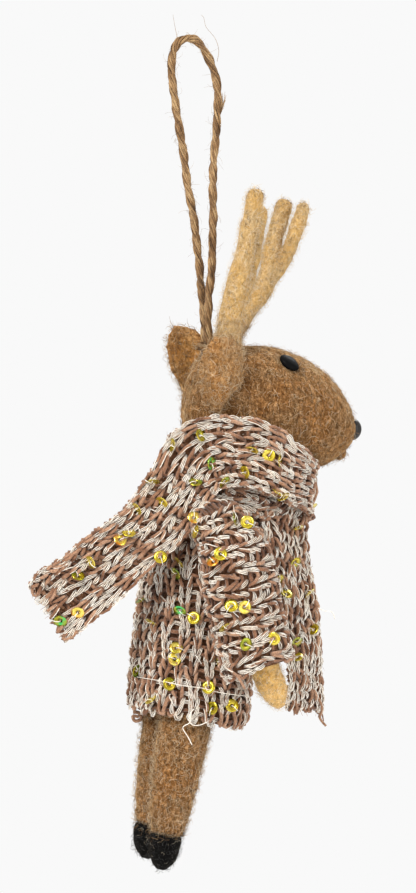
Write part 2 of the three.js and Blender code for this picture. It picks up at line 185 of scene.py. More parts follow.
def mesh_object(name, points, faces, tint=None, cells=None):
    """A mesh from points in world millimetres and lists of equal-sided faces."""
    mesh = bpy.data.meshes.new(name)
    mesh.vertices.add(len(points))
    mesh.vertices.foreach_set("co", (np.asarray(points) * MM).astype(np.float32).ravel())
    loops = np.concatenate([group.ravel() for group in faces])
    sizes = np.concatenate([np.full(len(group), group.shape[1]) for group in faces])
    mesh.loops.add(len(loops))
    mesh.loops.foreach_set("vertex_index", loops.astype(np.int32))
    mesh.polygons.add(len(sizes))
    mesh.polygons.foreach_set("loop_start", np.concatenate([[0], np.cumsum(sizes)[:-1]]).astype(np.int32))
    mesh.polygons.foreach_set("loop_total", sizes.astype(np.int32))
    mesh.update(calc_edges=True)
    mesh.shade_smooth()
    if tint is not None:
        layer = mesh.attributes.new("tint", "FLOAT", "POINT")
        layer.data.foreach_set("value", np.asarray(tint, np.float32).ravel())
    if cells is not None:
        layer = mesh.uv_layers.new(name="OFBake")
        layer.data.foreach_set("uv", cells.astype(np.float32).ravel())
    made = bpy.data.objects.new(name, mesh)
    bpy.context.scene.collection.objects.link(made)
    return made


def tube_cells(count, length, sides):
    """UV corners of tubes: a cell for each, its caps at the cell's two ends."""
    columns = max(1, math.ceil(math.sqrt(count / 4)))
    rows = math.ceil(count / columns)
    cell = np.arange(count)
    left, floor = (cell % columns) / columns, (cell // columns) / rows
    u0 = np.arange(length - 1)[:, None] / (length - 1)
    u1 = u0 + 1 / (length - 1)
    v0, v1 = np.arange(sides) / sides, (np.arange(sides) + 1) / sides
    grid_u = np.stack(np.broadcast_arrays(u0, u0, u1, u1 + 0 * v0), axis=-1)
    grid_v = np.stack(np.broadcast_arrays(v0, v1, v1, v0 + 0 * u0), axis=-1)
    inside = 1 - 2 * cell_margin
    quad_u = (left[:, None, None, None] + (cell_margin + inside * grid_u) / columns).ravel()
    quad_v = (floor[:, None, None, None] + (cell_margin + inside * grid_v) / rows).ravel()
    angle = np.tile(np.arange(sides) / sides * TURN, 2 * count)
    ends = np.concatenate([left + cell_margin / columns, left + (1 - cell_margin) / columns])
    cap_u = np.repeat(ends, sides) + np.cos(angle) * cell_margin / 2 / columns
    cap_v = np.repeat(np.tile(floor + 0.5 / rows, 2), sides) + np.sin(angle) * cell_margin / 2 / rows
    return np.stack([np.concatenate([quad_u, cap_u]), np.concatenate([quad_v, cap_v])], axis=1)


def tube_object(name, paths, radii, sides, tint):
    """A mesh of round tubes along paths (count, points, 3), with a tint for each tube or each point."""
    count, length, _ = paths.shape
    radii = np.broadcast_to(np.asarray(radii, float), (count, length))
    tangent = unit(np.concatenate([paths[:, 1:2] - paths[:, :1], paths[:, 2:] - paths[:, :-2],
                                   paths[:, -1:] - paths[:, -2:-1]], axis=1))
    first = np.empty_like(paths)
    start = np.broadcast_to(np.array(slanting), (count, 3))
    for step in range(length):
        way = tangent[:, step]
        start = unit(start - way * (start * way).sum(-1, keepdims=True))
        first[:, step] = start
    second = np.cross(tangent, first)
    here = np.arange(sides)
    there = (here + 1) % sides
    angle = here / sides * TURN
    ring = first[:, :, None] * np.cos(angle)[:, None] + second[:, :, None] * np.sin(angle)[:, None]
    points = (paths[:, :, None] + ring * radii[..., None, None]).reshape(-1, 3)
    tube = (np.arange(count) * length * sides)[:, None]
    base = tube[:, :, None] + (np.arange(length - 1) * sides)[:, None]
    quads = np.stack([base + here, base + there, base + sides + there, base + sides + here], axis=-1)
    faces = [quads.reshape(-1, 4), tube + here[::-1], tube + (length - 1) * sides + here]
    tint = np.asarray(tint, float)
    if tint.ndim == 1:
        tint = np.repeat(tint[:, None], length, axis=1)
    return mesh_object(name, points, faces, np.repeat(tint.ravel(), sides), tube_cells(count, length, sides))


def grid_object(name, points, wraps=False):
    """A sheet through a grid of points (rows, columns, 3)."""
    rows, columns, _ = points.shape
    reach = columns if wraps else columns - 1
    a = (np.arange(rows - 1)[:, None] * columns + np.arange(reach)).ravel()
    b = (np.arange(rows - 1)[:, None] * columns + (np.arange(reach) + 1) % columns).ravel()
    quads = np.stack([a, b, b + columns, a + columns], axis=1)
    return mesh_object(name, points.reshape(-1, 3), [quads])


# Materials


def linear(colour):
    return [((c / 255 + 0.055) / 1.055) ** 2.4 if c > 10 else c / 255 / 12.92 for c in colour] + [1]


class Nodes:
    """A material's node tree, built by name."""

    def __init__(self, name):
        self.material = bpy.data.materials.new(name)
        self.material.use_nodes = True
        self.tree = self.material.node_tree
        self.shader = self.tree.nodes["Principled BSDF"]
        self.place = self.add("ShaderNodeTexCoord").outputs["Object"]

    def add(self, kind, inputs=None, **settings):
        node = self.tree.nodes.new(kind)
        for key, value in settings.items():
            setattr(node, key, value)
        for key, value in (inputs or {}).items():
            self.feed(node.inputs[key], value)
        return node

    def feed(self, socket, value):
        if isinstance(value, bpy.types.NodeSocket):
            self.tree.links.new(value, socket)
        else:
            socket.default_value = value

    def noise(self, scale, detail=4, roughness=0.6, stretch=None, distortion=0.0):
        place = self.place
        if stretch:
            place = self.add("ShaderNodeMapping", {"Vector": place, "Scale": stretch}).outputs[0]
        node = self.add("ShaderNodeTexNoise", {"Vector": place, "Scale": scale, "Detail": detail,
                                               "Roughness": roughness, "Distortion": distortion})
        return node.outputs["Fac"]

    def ramp(self, value, stops):
        node = self.add("ShaderNodeValToRGB", {"Fac": value})
        elements = node.color_ramp.elements
        while len(elements) < len(stops):
            elements.new(0.5)
        for element, (spot, colour) in zip(elements, stops):
            element.position = spot
            element.color = linear(colour)
        return node.outputs["Color"]

    def mix(self, share, one, other, blend="MIX"):
        node = self.add("ShaderNodeMix", data_type="RGBA", blend_type=blend)
        for index, value in ((0, share), (6, one), (7, other)):
            self.feed(node.inputs[index], value)
        return node.outputs[2]

    def maths(self, operation, one, other=0.0):
        node = self.add("ShaderNodeMath", operation=operation)
        self.feed(node.inputs[0], one)
        self.feed(node.inputs[1], other)
        return node.outputs[0]

    def attribute(self, name):
        return self.add("ShaderNodeAttribute", attribute_name=name).outputs["Fac"]

    def bump(self, height, distance, strength=1.0):
        node = self.add("ShaderNodeBump", {"Height": height, "Distance": distance, "Strength": strength})
        self.feed(self.shader.inputs["Normal"], node.outputs[0])

    def finish(self, **sockets):
        for key, value in sockets.items():
            self.feed(self.shader.inputs[key.replace("_", " ")], value)
        return self.material


felt_stops = (0.36, 0.5, 0.6)


def felt(name, dark, middle, light, warm, sheen=0.9, lining=None):
    """Needle-felted wool: matted fibres, soft patches and dark flecks; lined where its tint is 1."""
    nodes = Nodes(name)
    fine = nodes.noise(1500, 6, 0.75, (1, 1, 0.4), 0.8)
    crossing = nodes.noise(1700, 6, 0.75, (0.35, 0.9, 1), 1.0)
    patch = nodes.noise(170, 3, 0.6)
    streak = nodes.mix(0.5, fine, crossing)
    wool = nodes.ramp(streak, list(zip(felt_stops, (dark, middle, light))))
    if lining:
        wool = nodes.mix(nodes.attribute("tint"), wool, nodes.ramp(streak, list(zip(felt_stops, lining))))
    tone = nodes.ramp(patch, [(0.36, (242, 237, 234)), (0.62, warm)])
    flecks = nodes.ramp(nodes.noise(800, 5, 0.7), [(0.3, (150, 150, 155)), (0.5, white)])
    colour = nodes.mix(0.85, nodes.mix(0.8, wool, tone, "MULTIPLY"), flecks, "MULTIPLY")
    nodes.bump(nodes.maths("ADD", streak, nodes.noise(520, 4, 0.6)), 0.0006, 0.9)
    return nodes.finish(Base_Color=colour, Roughness=0.95, Sheen_Weight=sheen, Sheen_Roughness=0.28,
                        Sheen_Tint=linear((255, 218, 164)), Specular_IOR_Level=0.1)


def fibre(name, stops):
    """Single wool hairs, each with its own tint."""
    nodes = Nodes(name)
    colour = nodes.ramp(nodes.attribute("tint"), stops)
    shade = nodes.ramp(nodes.noise(900, 2), [(0.3, (215, 215, 215)), (0.7, white)])
    return nodes.finish(Base_Color=nodes.mix(1.0, colour, shade, "MULTIPLY"), Roughness=0.8,
                        Sheen_Weight=0.12, Specular_IOR_Level=0.2)


def gloss(name, colour, smear, shine, coat):
    """A polished bead with faint handling marks."""
    nodes = Nodes(name)
    rough = nodes.maths("ADD", nodes.maths("MULTIPLY", nodes.noise(900, 5, 0.7), smear), 0.62)
    tone = nodes.ramp(nodes.noise(400, 3), [(0.35, colour), (0.75, tuple(c + 8 for c in colour))])
    return nodes.finish(Base_Color=tone, Roughness=rough, Specular_IOR_Level=shine, Coat_Weight=coat,
                        Coat_Roughness=0.08)


def tinted(name, stops, noise, painted_hollow_shade, clear_from, share, relief):
    """Nodes, grain and colour of a yarn: its lines have their own tints, and its colour is darkened where its
    grain's bump is low, painted shade in the hollows.
    """
    nodes = Nodes(name)
    grain = nodes.noise(*noise)
    # Painted shade: the grain's low places, the hollows of its bump, darken the colour
    shade = nodes.ramp(grain, [painted_hollow_shade, (clear_from, white)])
    nodes.bump(grain, *relief)
    return nodes, grain, nodes.mix(share, nodes.ramp(nodes.attribute("tint"), stops), shade, "MULTIPLY")


def yarn_material():
    """Rose-brown spun yarn, matt and slightly hairy."""
    stops = [(0, (92, 56, 36)), (0.45, (164, 119, 90)), (1, (214, 172, 142))]
    # Its grain's hollows get painted shade
    nodes, _, colour = tinted("brown_yarn", stops, (2600, 5, 0.7), (0.32, (142, 128, 118)), 0.62, 0.85,
                              (0.0003, 0.8))
    return nodes.finish(Base_Color=colour, Roughness=0.9, Sheen_Weight=0.3, Sheen_Roughness=0.5,
                        Specular_IOR_Level=0.2)


def silver_material():
    """Metallised chain yarn, dulled, with painted shade in the hollows of its grain."""
    stops = [(0, (188, 166, 144)), (0.4, (251, 240, 224)), (1, (255, 252, 244))]
    nodes, grain, colour = tinted("silver_yarn", stops, (3200, 3, 0.6), (0.35, (214, 202, 190)), 0.55, 0.7,
                                  (0.0002, 0.6))
    rough = nodes.maths("ADD", nodes.maths("MULTIPLY", grain, 0.35), 0.22)
    return nodes.finish(Base_Color=colour, Roughness=rough, Metallic=0.1, Specular_IOR_Level=1.0,
                        Coat_Weight=0.5, Coat_Roughness=0.25, Sheen_Weight=0.6, Sheen_Roughness=0.4)


def twine_material():
    """Jute: long bast fibres, with painted shade in the hollows between them."""
    stops = [(0, (104, 74, 42)), (0.45, (154, 117, 76)), (1, (200, 166, 120))]
    nodes, _, colour = tinted("jute", stops, (2300, 5, 0.7, (1, 1, 0.35)), (0.3, (130, 118, 105)), 0.6, 0.8,
                              (0.0003,))
    return nodes.finish(Base_Color=colour, Roughness=0.8, Sheen_Weight=0.15, Specular_IOR_Level=0.3)


def backing_material():
    """The inside of the knit seen between its loops, its dark browns painted shade of the gaps."""
    nodes = Nodes("knit_shade")
    grain = nodes.noise(1200, 5, 0.7)
    colour = nodes.ramp(grain, [(0.35, (78, 50, 32)), (0.55, (112, 76, 52)), (0.75, (142, 102, 74))])
    nodes.bump(grain, 0.0006)
    return nodes.finish(Base_Color=colour, Roughness=1.0, Sheen_Weight=0.2, Specular_IOR_Level=0.1)


def sequin_material():
    """Gold film with painted reflections: green, olive and orange set by each sequin's tint and by random
    patches.
    """
    nodes = Nodes("sequin_film")
    tint = nodes.attribute("tint")
    patch = nodes.noise(700, 2, 0.5)
    spot = nodes.maths("ADD", tint, nodes.maths("MULTIPLY", nodes.maths("SUBTRACT", patch, 0.5), 0.9))
    colour = nodes.ramp(spot, [(0, (60, 190, 100)), (0.14, (140, 158, 26)), (0.34, (158, 140, 12)),
                               (0.55, (208, 184, 28)), (0.8, (238, 218, 104)), (0.95, (228, 140, 26))])
    rough = nodes.maths("ADD", nodes.maths("MULTIPLY", nodes.noise(2500, 3), 0.2), 0.12)
    return nodes.finish(Base_Color=colour, Metallic=0.75, Roughness=rough, Coat_Weight=0.5,
                        Coat_Roughness=0.1)


brown_felt = felt("brown_felt", (50, 33, 16), (127, 93, 58), (202, 164, 120), (252, 224, 184))
ear_felt = felt("ear_felt", (102, 72, 44), (178, 138, 92), (226, 192, 146), (240, 212, 170), 0.9,
                ((136, 92, 46), (202, 150, 86), (234, 190, 126)))
cream_felt = felt("cream_felt", (166, 136, 92), (202, 173, 126), (234, 212, 174), (253, 232, 184))
# A lighter copy of cream felt for the arms and hands: painted light
pale_felt = felt("pale_felt", (186, 150, 98), (224, 189, 131), (250, 227, 180), (255, 234, 184))
black_felt = felt("black_felt", (3, 3, 3), (10, 10, 10), (26, 25, 24), (220, 220, 225), 0.03)
brown_hair = fibre("brown_hair", [(0, (62, 38, 18)), (0.3, (128, 88, 44)), (0.62, (182, 140, 88)),
                                  (0.85, (228, 202, 164)), (1, (240, 222, 192))])
cream_hair = fibre("cream_hair", [(0, (186, 132, 58)), (0.4, (222, 186, 126)), (1, (252, 241, 218))])
black_hair = fibre("black_hair", [(0, (6, 6, 6)), (0.8, (30, 29, 28)), (1, (96, 92, 88))])
bead = gloss("black_bead", (4, 4, 5), 0.06, 0.07, 0.03)
nose_gloss = gloss("nose_bead_gloss", (22, 17, 14), 0.1, 0.35, 0.25)
brown_yarn = yarn_material()
silver_yarn = silver_material()
knit_shade = backing_material()
sequin_film = sequin_material()
jute = twine_material()


def paint(piece, material):
    piece.data.materials.clear()
    piece.data.materials.append(material)
    return piece


def stand_in(piece, node, slot, body):
    """Puts a piece in a node's place, on the body that carries it; its slot is not used."""
    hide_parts(node)
    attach(piece, body)


# Camera, lights and backdrop

target = Vector(camera_target) * MM
back = Vector((math.sin(camera_azimuth), -math.cos(camera_azimuth), 0))
lens = bpy.data.cameras.new("camera")
lens.sensor_fit = "VERTICAL"
lens.sensor_height = sensor_height
lens.lens = sensor_height * camera_distance / picture_height
lens.clip_start = 0.01
camera = bpy.data.objects.new("camera", lens)
camera.location = target + back * camera_distance * MM
camera.rotation_euler = (-back).to_track_quat("-Z", "Y").to_euler()
bpy.context.scene.collection.objects.link(camera)
bpy.context.scene.camera = camera
bpy.context.scene.view_settings.view_transform = "Standard"

picture_right = Vector((math.cos(camera_azimuth), math.sin(camera_azimuth), 0))
picture_up = Vector((0, 0, 1))


def soft_light(name, right, up, near, size, power, colour):
    """A square lamp placed by how far right, up and towards the camera it stands, in metres."""
    lamp = bpy.data.lights.new(name, "AREA")
    lamp.shape = "SQUARE"
    lamp.size = size
    lamp.energy = power
    lamp.color = colour
    holder = bpy.data.objects.new(name, lamp)
    holder.location = target + picture_right * right + picture_up * up + back * near
    holder.rotation_euler = (target - holder.location).to_track_quat("-Z", "Y").to_euler()
    bpy.context.scene.collection.objects.link(holder)


soft_light("key", -0.5, 0.75, 0.75, 0.45, 13.5, (1, 0.98, 0.94))
soft_light("fill", 0.85, 0.15, 0.55, 0.7, 4.6, (1, 0.985, 0.95))
soft_light("rim", 0.35, 0.7, -0.7, 0.5, 6, (1, 1, 1))

world = bpy.data.worlds.new("studio")
world.use_nodes = True
tree = world.node_tree
sky = tree.nodes["Background"]
paper = tree.nodes.new("ShaderNodeBackground")
path = tree.nodes.new("ShaderNodeLightPath")
choose = tree.nodes.new("ShaderNodeMixShader")
sky.inputs["Color"].default_value = (1, 0.985, 0.96, 1)
sky.inputs["Strength"].default_value = 0.56
paper.inputs["Color"].default_value = linear((249, 249, 249))
sources = (path.outputs["Is Camera Ray"], sky.outputs[0], paper.outputs[0])
for source, socket in zip(sources, choose.inputs):
    tree.links.new(source, socket)
tree.links.new(choose.outputs[0], tree.nodes["World Output"].inputs["Surface"])
bpy.context.scene.world = world

floor_drop, floor_reach = 330, 700
corners = np.array([[-1, -1, 0], [1, -1, 0], [1, 1, 0], [-1, 1, 0]]) * floor_reach + [0, 0, -floor_drop]
studio_floor = mesh_object("studio_floor", corners, [np.array([[0, 1, 2, 3]])])
floor_nodes = Nodes("floor_paper")
floor_tone = floor_nodes.ramp(floor_nodes.noise(8), [(0.3, (244, 244, 244)), (0.7, (249, 249, 249))])
paint(studio_floor, floor_nodes.finish(Base_Color=floor_tone, Roughness=0.9))


# Twine loop

twine_route = [
    (-1.25, 4.09, -67.96), (-1.25, 3.9, -63), (-1.25, 4.1, -57.7), (-1.2, 4.7, -52.5),
    (-0.9, 5.1, -46.3), (-0.6, 5.4, -39.4), (-0.3, 5.4, -34.2), (0, 5.7, -27.3),
    (0, 6.2, -21.1), (0, 6.65, -15.8), (0, 6.8, -11.4), (0, 6.2, -7.2),
    (0, 4.4, -2.6), (0, 2.1, 0.5), (0, -0.3, 1.4), (0, -2.7, 0.5),
    (0, -4.2, -2.4), (0, -4.35, -7.8), (0, -3.45, -14.2), (0, -2.1, -21.4),
    (0.3, -0.8, -29.8), (0.6, 0.6, -37), (0.9, 1.9, -44.3), (1.2, 2.9, -52.5),
    (1.25, 3.4, -57.3), (1.25, 3.9, -63), (1.25, 4.09, -67.96),
]
ply_offset = 0.26
ply_pitch = 10.5
strands_in_ply = 6
strand_offset = 0.54
strand_radius = 0.27
strand_pitch = 13
strand_wander = 0.05
twine_step = 0.42
fuzz_count, fuzz_points = 320, 5
fuzz_root = 0.75


def path_frames(line):
    """The tangent and two crossing ways along one line of points."""
    tangent = unit(np.gradient(line, axis=0))
    first = np.empty_like(line)
    start = np.array([1.0, 0, 0])
    for index, way in enumerate(tangent):
        start = unit(start - way * (start @ way))
        first[index] = start
    return tangent, first, np.cross(tangent, first)


def twist(line, offset, pitch, phase):
    """A line wound round another at a distance."""
    _, first, second = path_frames(line)
    angle = -(run_along(line) / pitch * TURN + phase)[:, None]
    return line + offset * (np.cos(angle) * first + np.sin(angle) * second)


route = np.array(twine_route) * [1, -1, 1]
twine_length = float(np.linalg.norm(np.diff(even_curve(route, 400), axis=0), axis=1).sum())
core = even_curve(route, int(twine_length / twine_step))
plies = [twist(core, ply_offset, ply_pitch, phase) for phase in (0.4, 0.4 + math.pi)]
draw = generator(11)
strands, strand_tints = [], []
for ply in plies:
    for index in range(strands_in_ply):
        phase = index / strands_in_ply * TURN
        strand = twist(ply, strand_offset * draw.uniform(0.8, 1.1), strand_pitch, phase)
        wander = np.stack([lumps(strand, 3, 50 + index + axis) for axis in range(3)], axis=1)
        strands.append(strand + strand_wander * wander)
        strand_tints.append(0.5 + 0.35 * lumps(strand, 4, 90 + index) + draw.uniform(-0.15, 0.15))
strands = np.array(strands)
twine = tube_object("twine", strands, strand_radius, 5, np.clip(strand_tints, 0, 1))
paint(twine, jute)
stand_in(twine, "twine_loop", "jute_twine", "loop")


def hair_paths(roots, normals, lengths, rise, curl, points, seed):
    """Curly hairs from roots, leaning off the surface by rise and turning by curl."""
    draw = generator(seed)
    count = len(roots)
    across = unit(np.cross(normals, draw.normal(size=(count, 3))))
    bend = np.cross(normals, across)
    turn = draw.normal(0, curl, count)[:, None]
    lift = draw.uniform(rise[0], rise[1], count)[:, None]
    place = roots.copy()
    rows = [place - normals * 0.1]
    for step in range(points - 1):
        share = step / max(1, points - 2)
        angle = turn * share
        way = across * np.cos(angle) + bend * np.sin(angle) + normals * lift * (1 - 0.9 * share)
        place = place + unit(way) * (lengths / (points - 1))[:, None]
        rows.append(place)
    return np.stack(rows, axis=1)


at_core = draw.integers(6, len(core) - 6, fuzz_count)
ways = unit(np.cross(unit(np.gradient(core, axis=0))[at_core], draw.normal(size=(fuzz_count, 3))))
fuzz = hair_paths(core[at_core] + ways * fuzz_root, ways, draw.uniform(0.8, 3.2, fuzz_count), (0.1, 0.9), 1.3,
                  fuzz_points, 12)
stray_twine = tube_object("twine_fibres", fuzz, np.linspace(0.03, 0.015, fuzz_points), 3,
                          draw.uniform(0.3, 1, fuzz_count))
paint(stray_twine, jute)
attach(stray_twine, "loop")

# Two long fibres over the loop, then a tuft on its right
loose_fibres = [
    [(0, 6.6, -3.6), (0, 7, -1), (0, 6.1, 1.7), (0, 3.9, 4.2), (0, 3.4, 6.2), (0, 2.7, 6.9)],
    [(0, -3, 1.2), (0, -3.6, 3.8), (0, -4.1, 6.6)],
]
for _ in range(12):
    spread = draw.normal(0, 0.3, 3)
    loose_fibres.append([(0, 7.1, -16.4), (spread[0], 7.9 + 0.4 * spread[1], -13.8),
                         (spread[0], 8.3 + spread[1], -11.6 + 2 * spread[2])])
lines = np.stack([even_curve(np.array(line) * [1, -1, 1], 20) for line in loose_fibres])
long_fibres = tube_object("twine_long_fibres", lines, np.linspace(0.05, 0.03, 20), 4,
                          np.linspace(0.6, 1, len(lines)))
paint(long_fibres, jute)
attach(long_fibres, "loop")
cord_path = [tuple(float(x) * MM for x in spot) for spot in (*core[::4], core[-1])]
paint(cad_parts["twine_knot"], jute)


# Felt

root_spread = 0.15
hair_taper = np.array([1, 1, 0.8, 0.35])
hand_from, hand_to = -22, -34
hand_back, hand_down = 0.4, 0.6
shoulder_up, shoulder_squash = -10, 0.3


def cad_mesh(node, voxel, smoothing):
    """The CAD solid's skin as an even mesh: points in millimetres, normals and faces."""
    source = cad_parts[node]
    copy = bpy.data.objects.new("skin", source.data.copy())
    bpy.context.scene.collection.objects.link(copy)
    weld = copy.modifiers.new("weld", "WELD")
    weld.merge_threshold = 0.00001
    remesh = copy.modifiers.new("remesh", "REMESH")
    remesh.mode = "VOXEL"
    remesh.voxel_size = voxel * MM
    smooth = copy.modifiers.new("smooth", "SMOOTH")
    smooth.factor = 0.5
    smooth.iterations = smoothing
    made = copy.evaluated_get(bpy.context.evaluated_depsgraph_get()).to_mesh()
    count = len(made.vertices)
    points = np.empty(count * 3)
    made.vertices.foreach_get("co", points)
    normals = np.empty(count * 3)
    made.vertices.foreach_get("normal", normals)
    quads = np.array([tuple(face.vertices) for face in made.polygons])
    bpy.data.objects.remove(copy)
    return points.reshape(-1, 3) / MM, normals.reshape(-1, 3), [quads]


def felt_piece(node, body, material, slot, voxel, smoothing, relief, seed, reshape=None, lined=None):
    """Replaces a felt node by its lumpy skin and returns it with points and normals for its hairs."""
    points, normals, faces = cad_mesh(node, voxel, smoothing)
    push = relief * (0.6 * lumps(points, 5, seed) + 0.45 * lumps(points, 1.7, seed + 1))
    points = points + normals * push[:, None]
    if reshape:
        points = reshape(points)
    tint = lined(points, normals) if lined else None
    made = paint(mesh_object(f"{node}_felt", points, faces, tint), material)
    stand_in(made, node, slot, body)
    return made, points, normals


def hairs(name, body, points, normals, count, material, length, rise, radius, curl, seed, tints=(0, 1)):
    """Single hairs from random places on a piece of felt."""
    draw = generator(seed)
    chosen = draw.integers(0, len(points), count)
    roots = points[chosen] + draw.normal(0, root_spread, (count, 3))
    lengths = draw.uniform(*length, count)
    paths = hair_paths(roots, normals[chosen], lengths, rise, curl, hair_points, seed + 1)
    thick = radius * draw.uniform(0.6, 1.2, count)[:, None] * hair_taper
    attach(paint(tube_object(name, paths, thick, 3, draw.uniform(*tints, count)), material), body)


def world_to_arm(points, side):
    """The reverse of arm_to_figure and figure_to_world."""
    c, s = math.cos(hang_lean), math.sin(hang_lean)
    y, z = points[..., 1] + pivot_forward, points[..., 2] + pivot_drop
    forward, up = -(y * c + z * s), z * c - y * s - twine_radius
    forward, up = forward - arm_forward, up + arm_drop
    c, s = math.cos(arm_swing), math.sin(arm_swing)
    return at(points[..., 0] - side * arm_side, forward * c + up * s, up * c - forward * s)


def tuck_arm(side):
    """Draws an arm's top down inside the sleeve and its hand a little down and back."""
    def reshape(points):
        local = world_to_arm(points, side)
        up = local[:, 2]
        hand = step_between(hand_from, hand_to, up)
        local[:, 1] -= hand_back * hand
        squashed = shoulder_up + (up - shoulder_up) * shoulder_squash
        local[:, 2] = np.where(up > shoulder_up, squashed, up) - hand_down * hand
        return figure_to_world(arm_to_figure(local, side))
    return reshape


def draw_in_tip(points):
    """Narrows an ear towards its lower tip and draws the tip back."""
    low, high = points[:, 2].min(), points[:, 2].max()
    share = step_between(0, 0.5, (points[:, 2] - low) / (high - low))
    middle = points[:, 1].mean() + 1.6 * (1 - share)
    points[:, 1] = middle + (points[:, 1] - middle) * (0.5 + 0.5 * share)
    return points


def ear_lining(sign):
    """How far the warm lining of an ear shows: on its inner side, fading towards the rim."""
    def tint(points, normals):
        spread = (points - points.mean(axis=0)) / np.ptp(points, axis=0) * 2
        rim = step_between(0.4, 0.95, np.hypot(spread[:, 1], spread[:, 2]))
        return step_between(0, 0.5, -sign * normals[:, 0]) * (1 - 0.8 * rim)
    return tint


def middle_of(node):
    return cad_mesh(node, 0.3, 1)[0].mean(axis=0)


def away(points, spot):
    return np.linalg.norm(points - spot, axis=1)


# Where hairs grow: which points of a piece of felt are kept


def anywhere(points, normals, sign):
    return np.full(len(points), True)


def outer_side(points, normals, sign):
    return normals[:, 0] * sign >= 0


def inner_side(points, normals, sign):
    return normals[:, 0] * sign < 0


def lowest(share):
    return lambda points, normals, sign: points[:, 2] < np.quantile(points[:, 2], share)


def near_top(reach):
    return lambda points, normals, sign: points[:, 2] > points[:, 2].max() - reach


def near_foot(reach):
    return lambda points, normals, sign: points[:, 2] < points[:, 2].min() + reach


head, points, normals = felt_piece("head", "figure", brown_felt, "brown_felt", 0.5, 5, 0.25, 3)
clear = away(points, middle_of("nose_bead")) > 4.6
clear_skin = points[clear], normals[clear]
hairs("head_hair", "figure", *clear_skin, 5200, brown_hair, (0.8, 3), (0.02, 0.28), 0.038, 1.4, 21)
# Halo hairs stand off the felt with lighter tints: partly their own paler colour, partly painted light on the
# rim
hairs("head_halo", "figure", *clear_skin, 3000, brown_hair, (0.6, 1.7), (0.5, 1.6), 0.026, 1.2, 22,
      (0.55, 0.95))
to_corner = figure_to_world(at(0, 2.6, -1.2)) - figure_to_world(at(0, 0, 0))
for side, _ in both_sides:
    corner = away(points, middle_of(f"eye_{side}") + to_corner) < 1.5
    hairs(f"eye_{side}_corner", "figure", points[corner], normals[corner], 36, black_hair, (0.6, 1.4),
          (0.1, 0.5), 0.04, 1.2, 23)

# Felt pieces on both sides: kind, body, material, slot, voxel, smoothing, relief and seed. Then their hairs:
# name, where they grow, count, material, length, rise off the skin, radius, curl, seed and tints.
# The halos' lighter tints are partly painted light on the rims
sided_felt = [
    (("ear", "figure", ear_felt, "ear_felt", 0.34, 3, 0.16, 5), [
        ("hair", outer_side, 600, brown_hair, (1, 3), (0.1, 0.7), 0.04, 1.4, 31, (0.3, 1)),
        ("lining", inner_side, 420, brown_hair, (0.8, 2.4), (0.1, 0.6), 0.04, 1.4, 131, (0.1, 0.6)),
        ("halo", anywhere, 700, brown_hair, (0.6, 1.7), (0.5, 1.6), 0.026, 1.2, 171, (0.55, 0.95))]),
    (("antler", "figure", cream_felt, "cream_felt", 0.36, 3, 0.16, 8), [
        ("hair", anywhere, 1500, cream_hair, (0.7, 2.4), (0.1, 0.9), 0.034, 1.5, 41, (0.4, 1)),
        ("halo", anywhere, 1800, cream_hair, (0.6, 1.9), (0.4, 1.6), 0.028, 1.2, 161, (0.6, 1)),
        ("foot_hair", lowest(0.22), 420, brown_hair, (1.2, 3.4), (0.05, 0.5), 0.045, 1.3, 141, (0.4, 1)),
        ("tip_hair", near_top(2.4), 110, brown_hair, (0.5, 1.2), (0.02, 0.2), 0.045, 1.3, 151, (0.1, 0.5))]),
    (("arm", "arm", pale_felt, "cream_felt", 0.45, 3, 0.15, 14), [
        ("hair", lowest(0.4), 500, cream_hair, (0.8, 2.4), (0.1, 0.8), 0.034, 1.5, 51, (0, 1)),
        ("halo", lowest(0.4), 900, cream_hair, (0.6, 1.9), (0.4, 1.6), 0.028, 1.2, 56, (0.6, 1))]),
    (("leg", "leg", brown_felt, "brown_felt", 0.5, 4, 0.22, 17), [
        ("hair", lowest(0.75), 1400, brown_hair, (0.8, 2.8), (0.03, 0.4), 0.038, 1.3, 61, (0, 0.9)),
        ("halo", lowest(0.75), 2600, brown_hair, (0.8, 2.2), (0.4, 1.5), 0.03, 1.2, 111, (0.62, 1)),
        ("dark", near_foot(1.3), 190, black_hair, (0.7, 1.8), (0.02, 0.3), 0.05, 1.2, 121, (0, 0.6))]),
    (("hoof", "leg", black_felt, "black_felt", 0.36, 3, 0.15, 27), [
        ("hair", anywhere, 420, black_hair, (0.6, 2), (0.05, 1.2), 0.034, 1.4, 71, (0, 1)),
        ("edge", near_top(1.6), 80, brown_hair, (0.7, 1.8), (0.05, 0.5), 0.03, 1.2, 91, (0.1, 0.7)),
        ("pale", anywhere, 46, cream_hair, (0.8, 2.2), (0.1, 0.7), 0.016, 1.4, 81, (0.8, 1))]),
]
for side, sign in both_sides:
    reshapes = {"ear": draw_in_tip, "arm": tuck_arm(sign)}
    linings = {"ear": ear_lining(sign)}
    for (kind, holder, *looks, seed), coat in sided_felt:
        node = f"{kind}_{side}"
        body = holder if holder == "figure" else f"{holder}_{side}"
        piece, points, normals = felt_piece(node, body, *looks, seed + sign, reshapes.get(kind),
                                            linings.get(kind))
        for name, where, *style, hair_seed, tints in coat:
            here = where(points, normals, sign)
            hairs(f"{node}_{name}", body, points[here], normals[here], *style, hair_seed + sign, tints)

torso, _, _ = felt_piece("torso", "figure", brown_felt, "brown_felt", 0.8, 3, 0.2, 33)
_, points, normals = felt_piece("mouth", "figure", brown_felt, "brown_felt", 0.25, 2, 0.1, 35)
hairs("mouth_hair", "figure", points, normals, 90, brown_hair, (0.8, 2), (0.1, 0.6), 0.04, 1.4, 36)

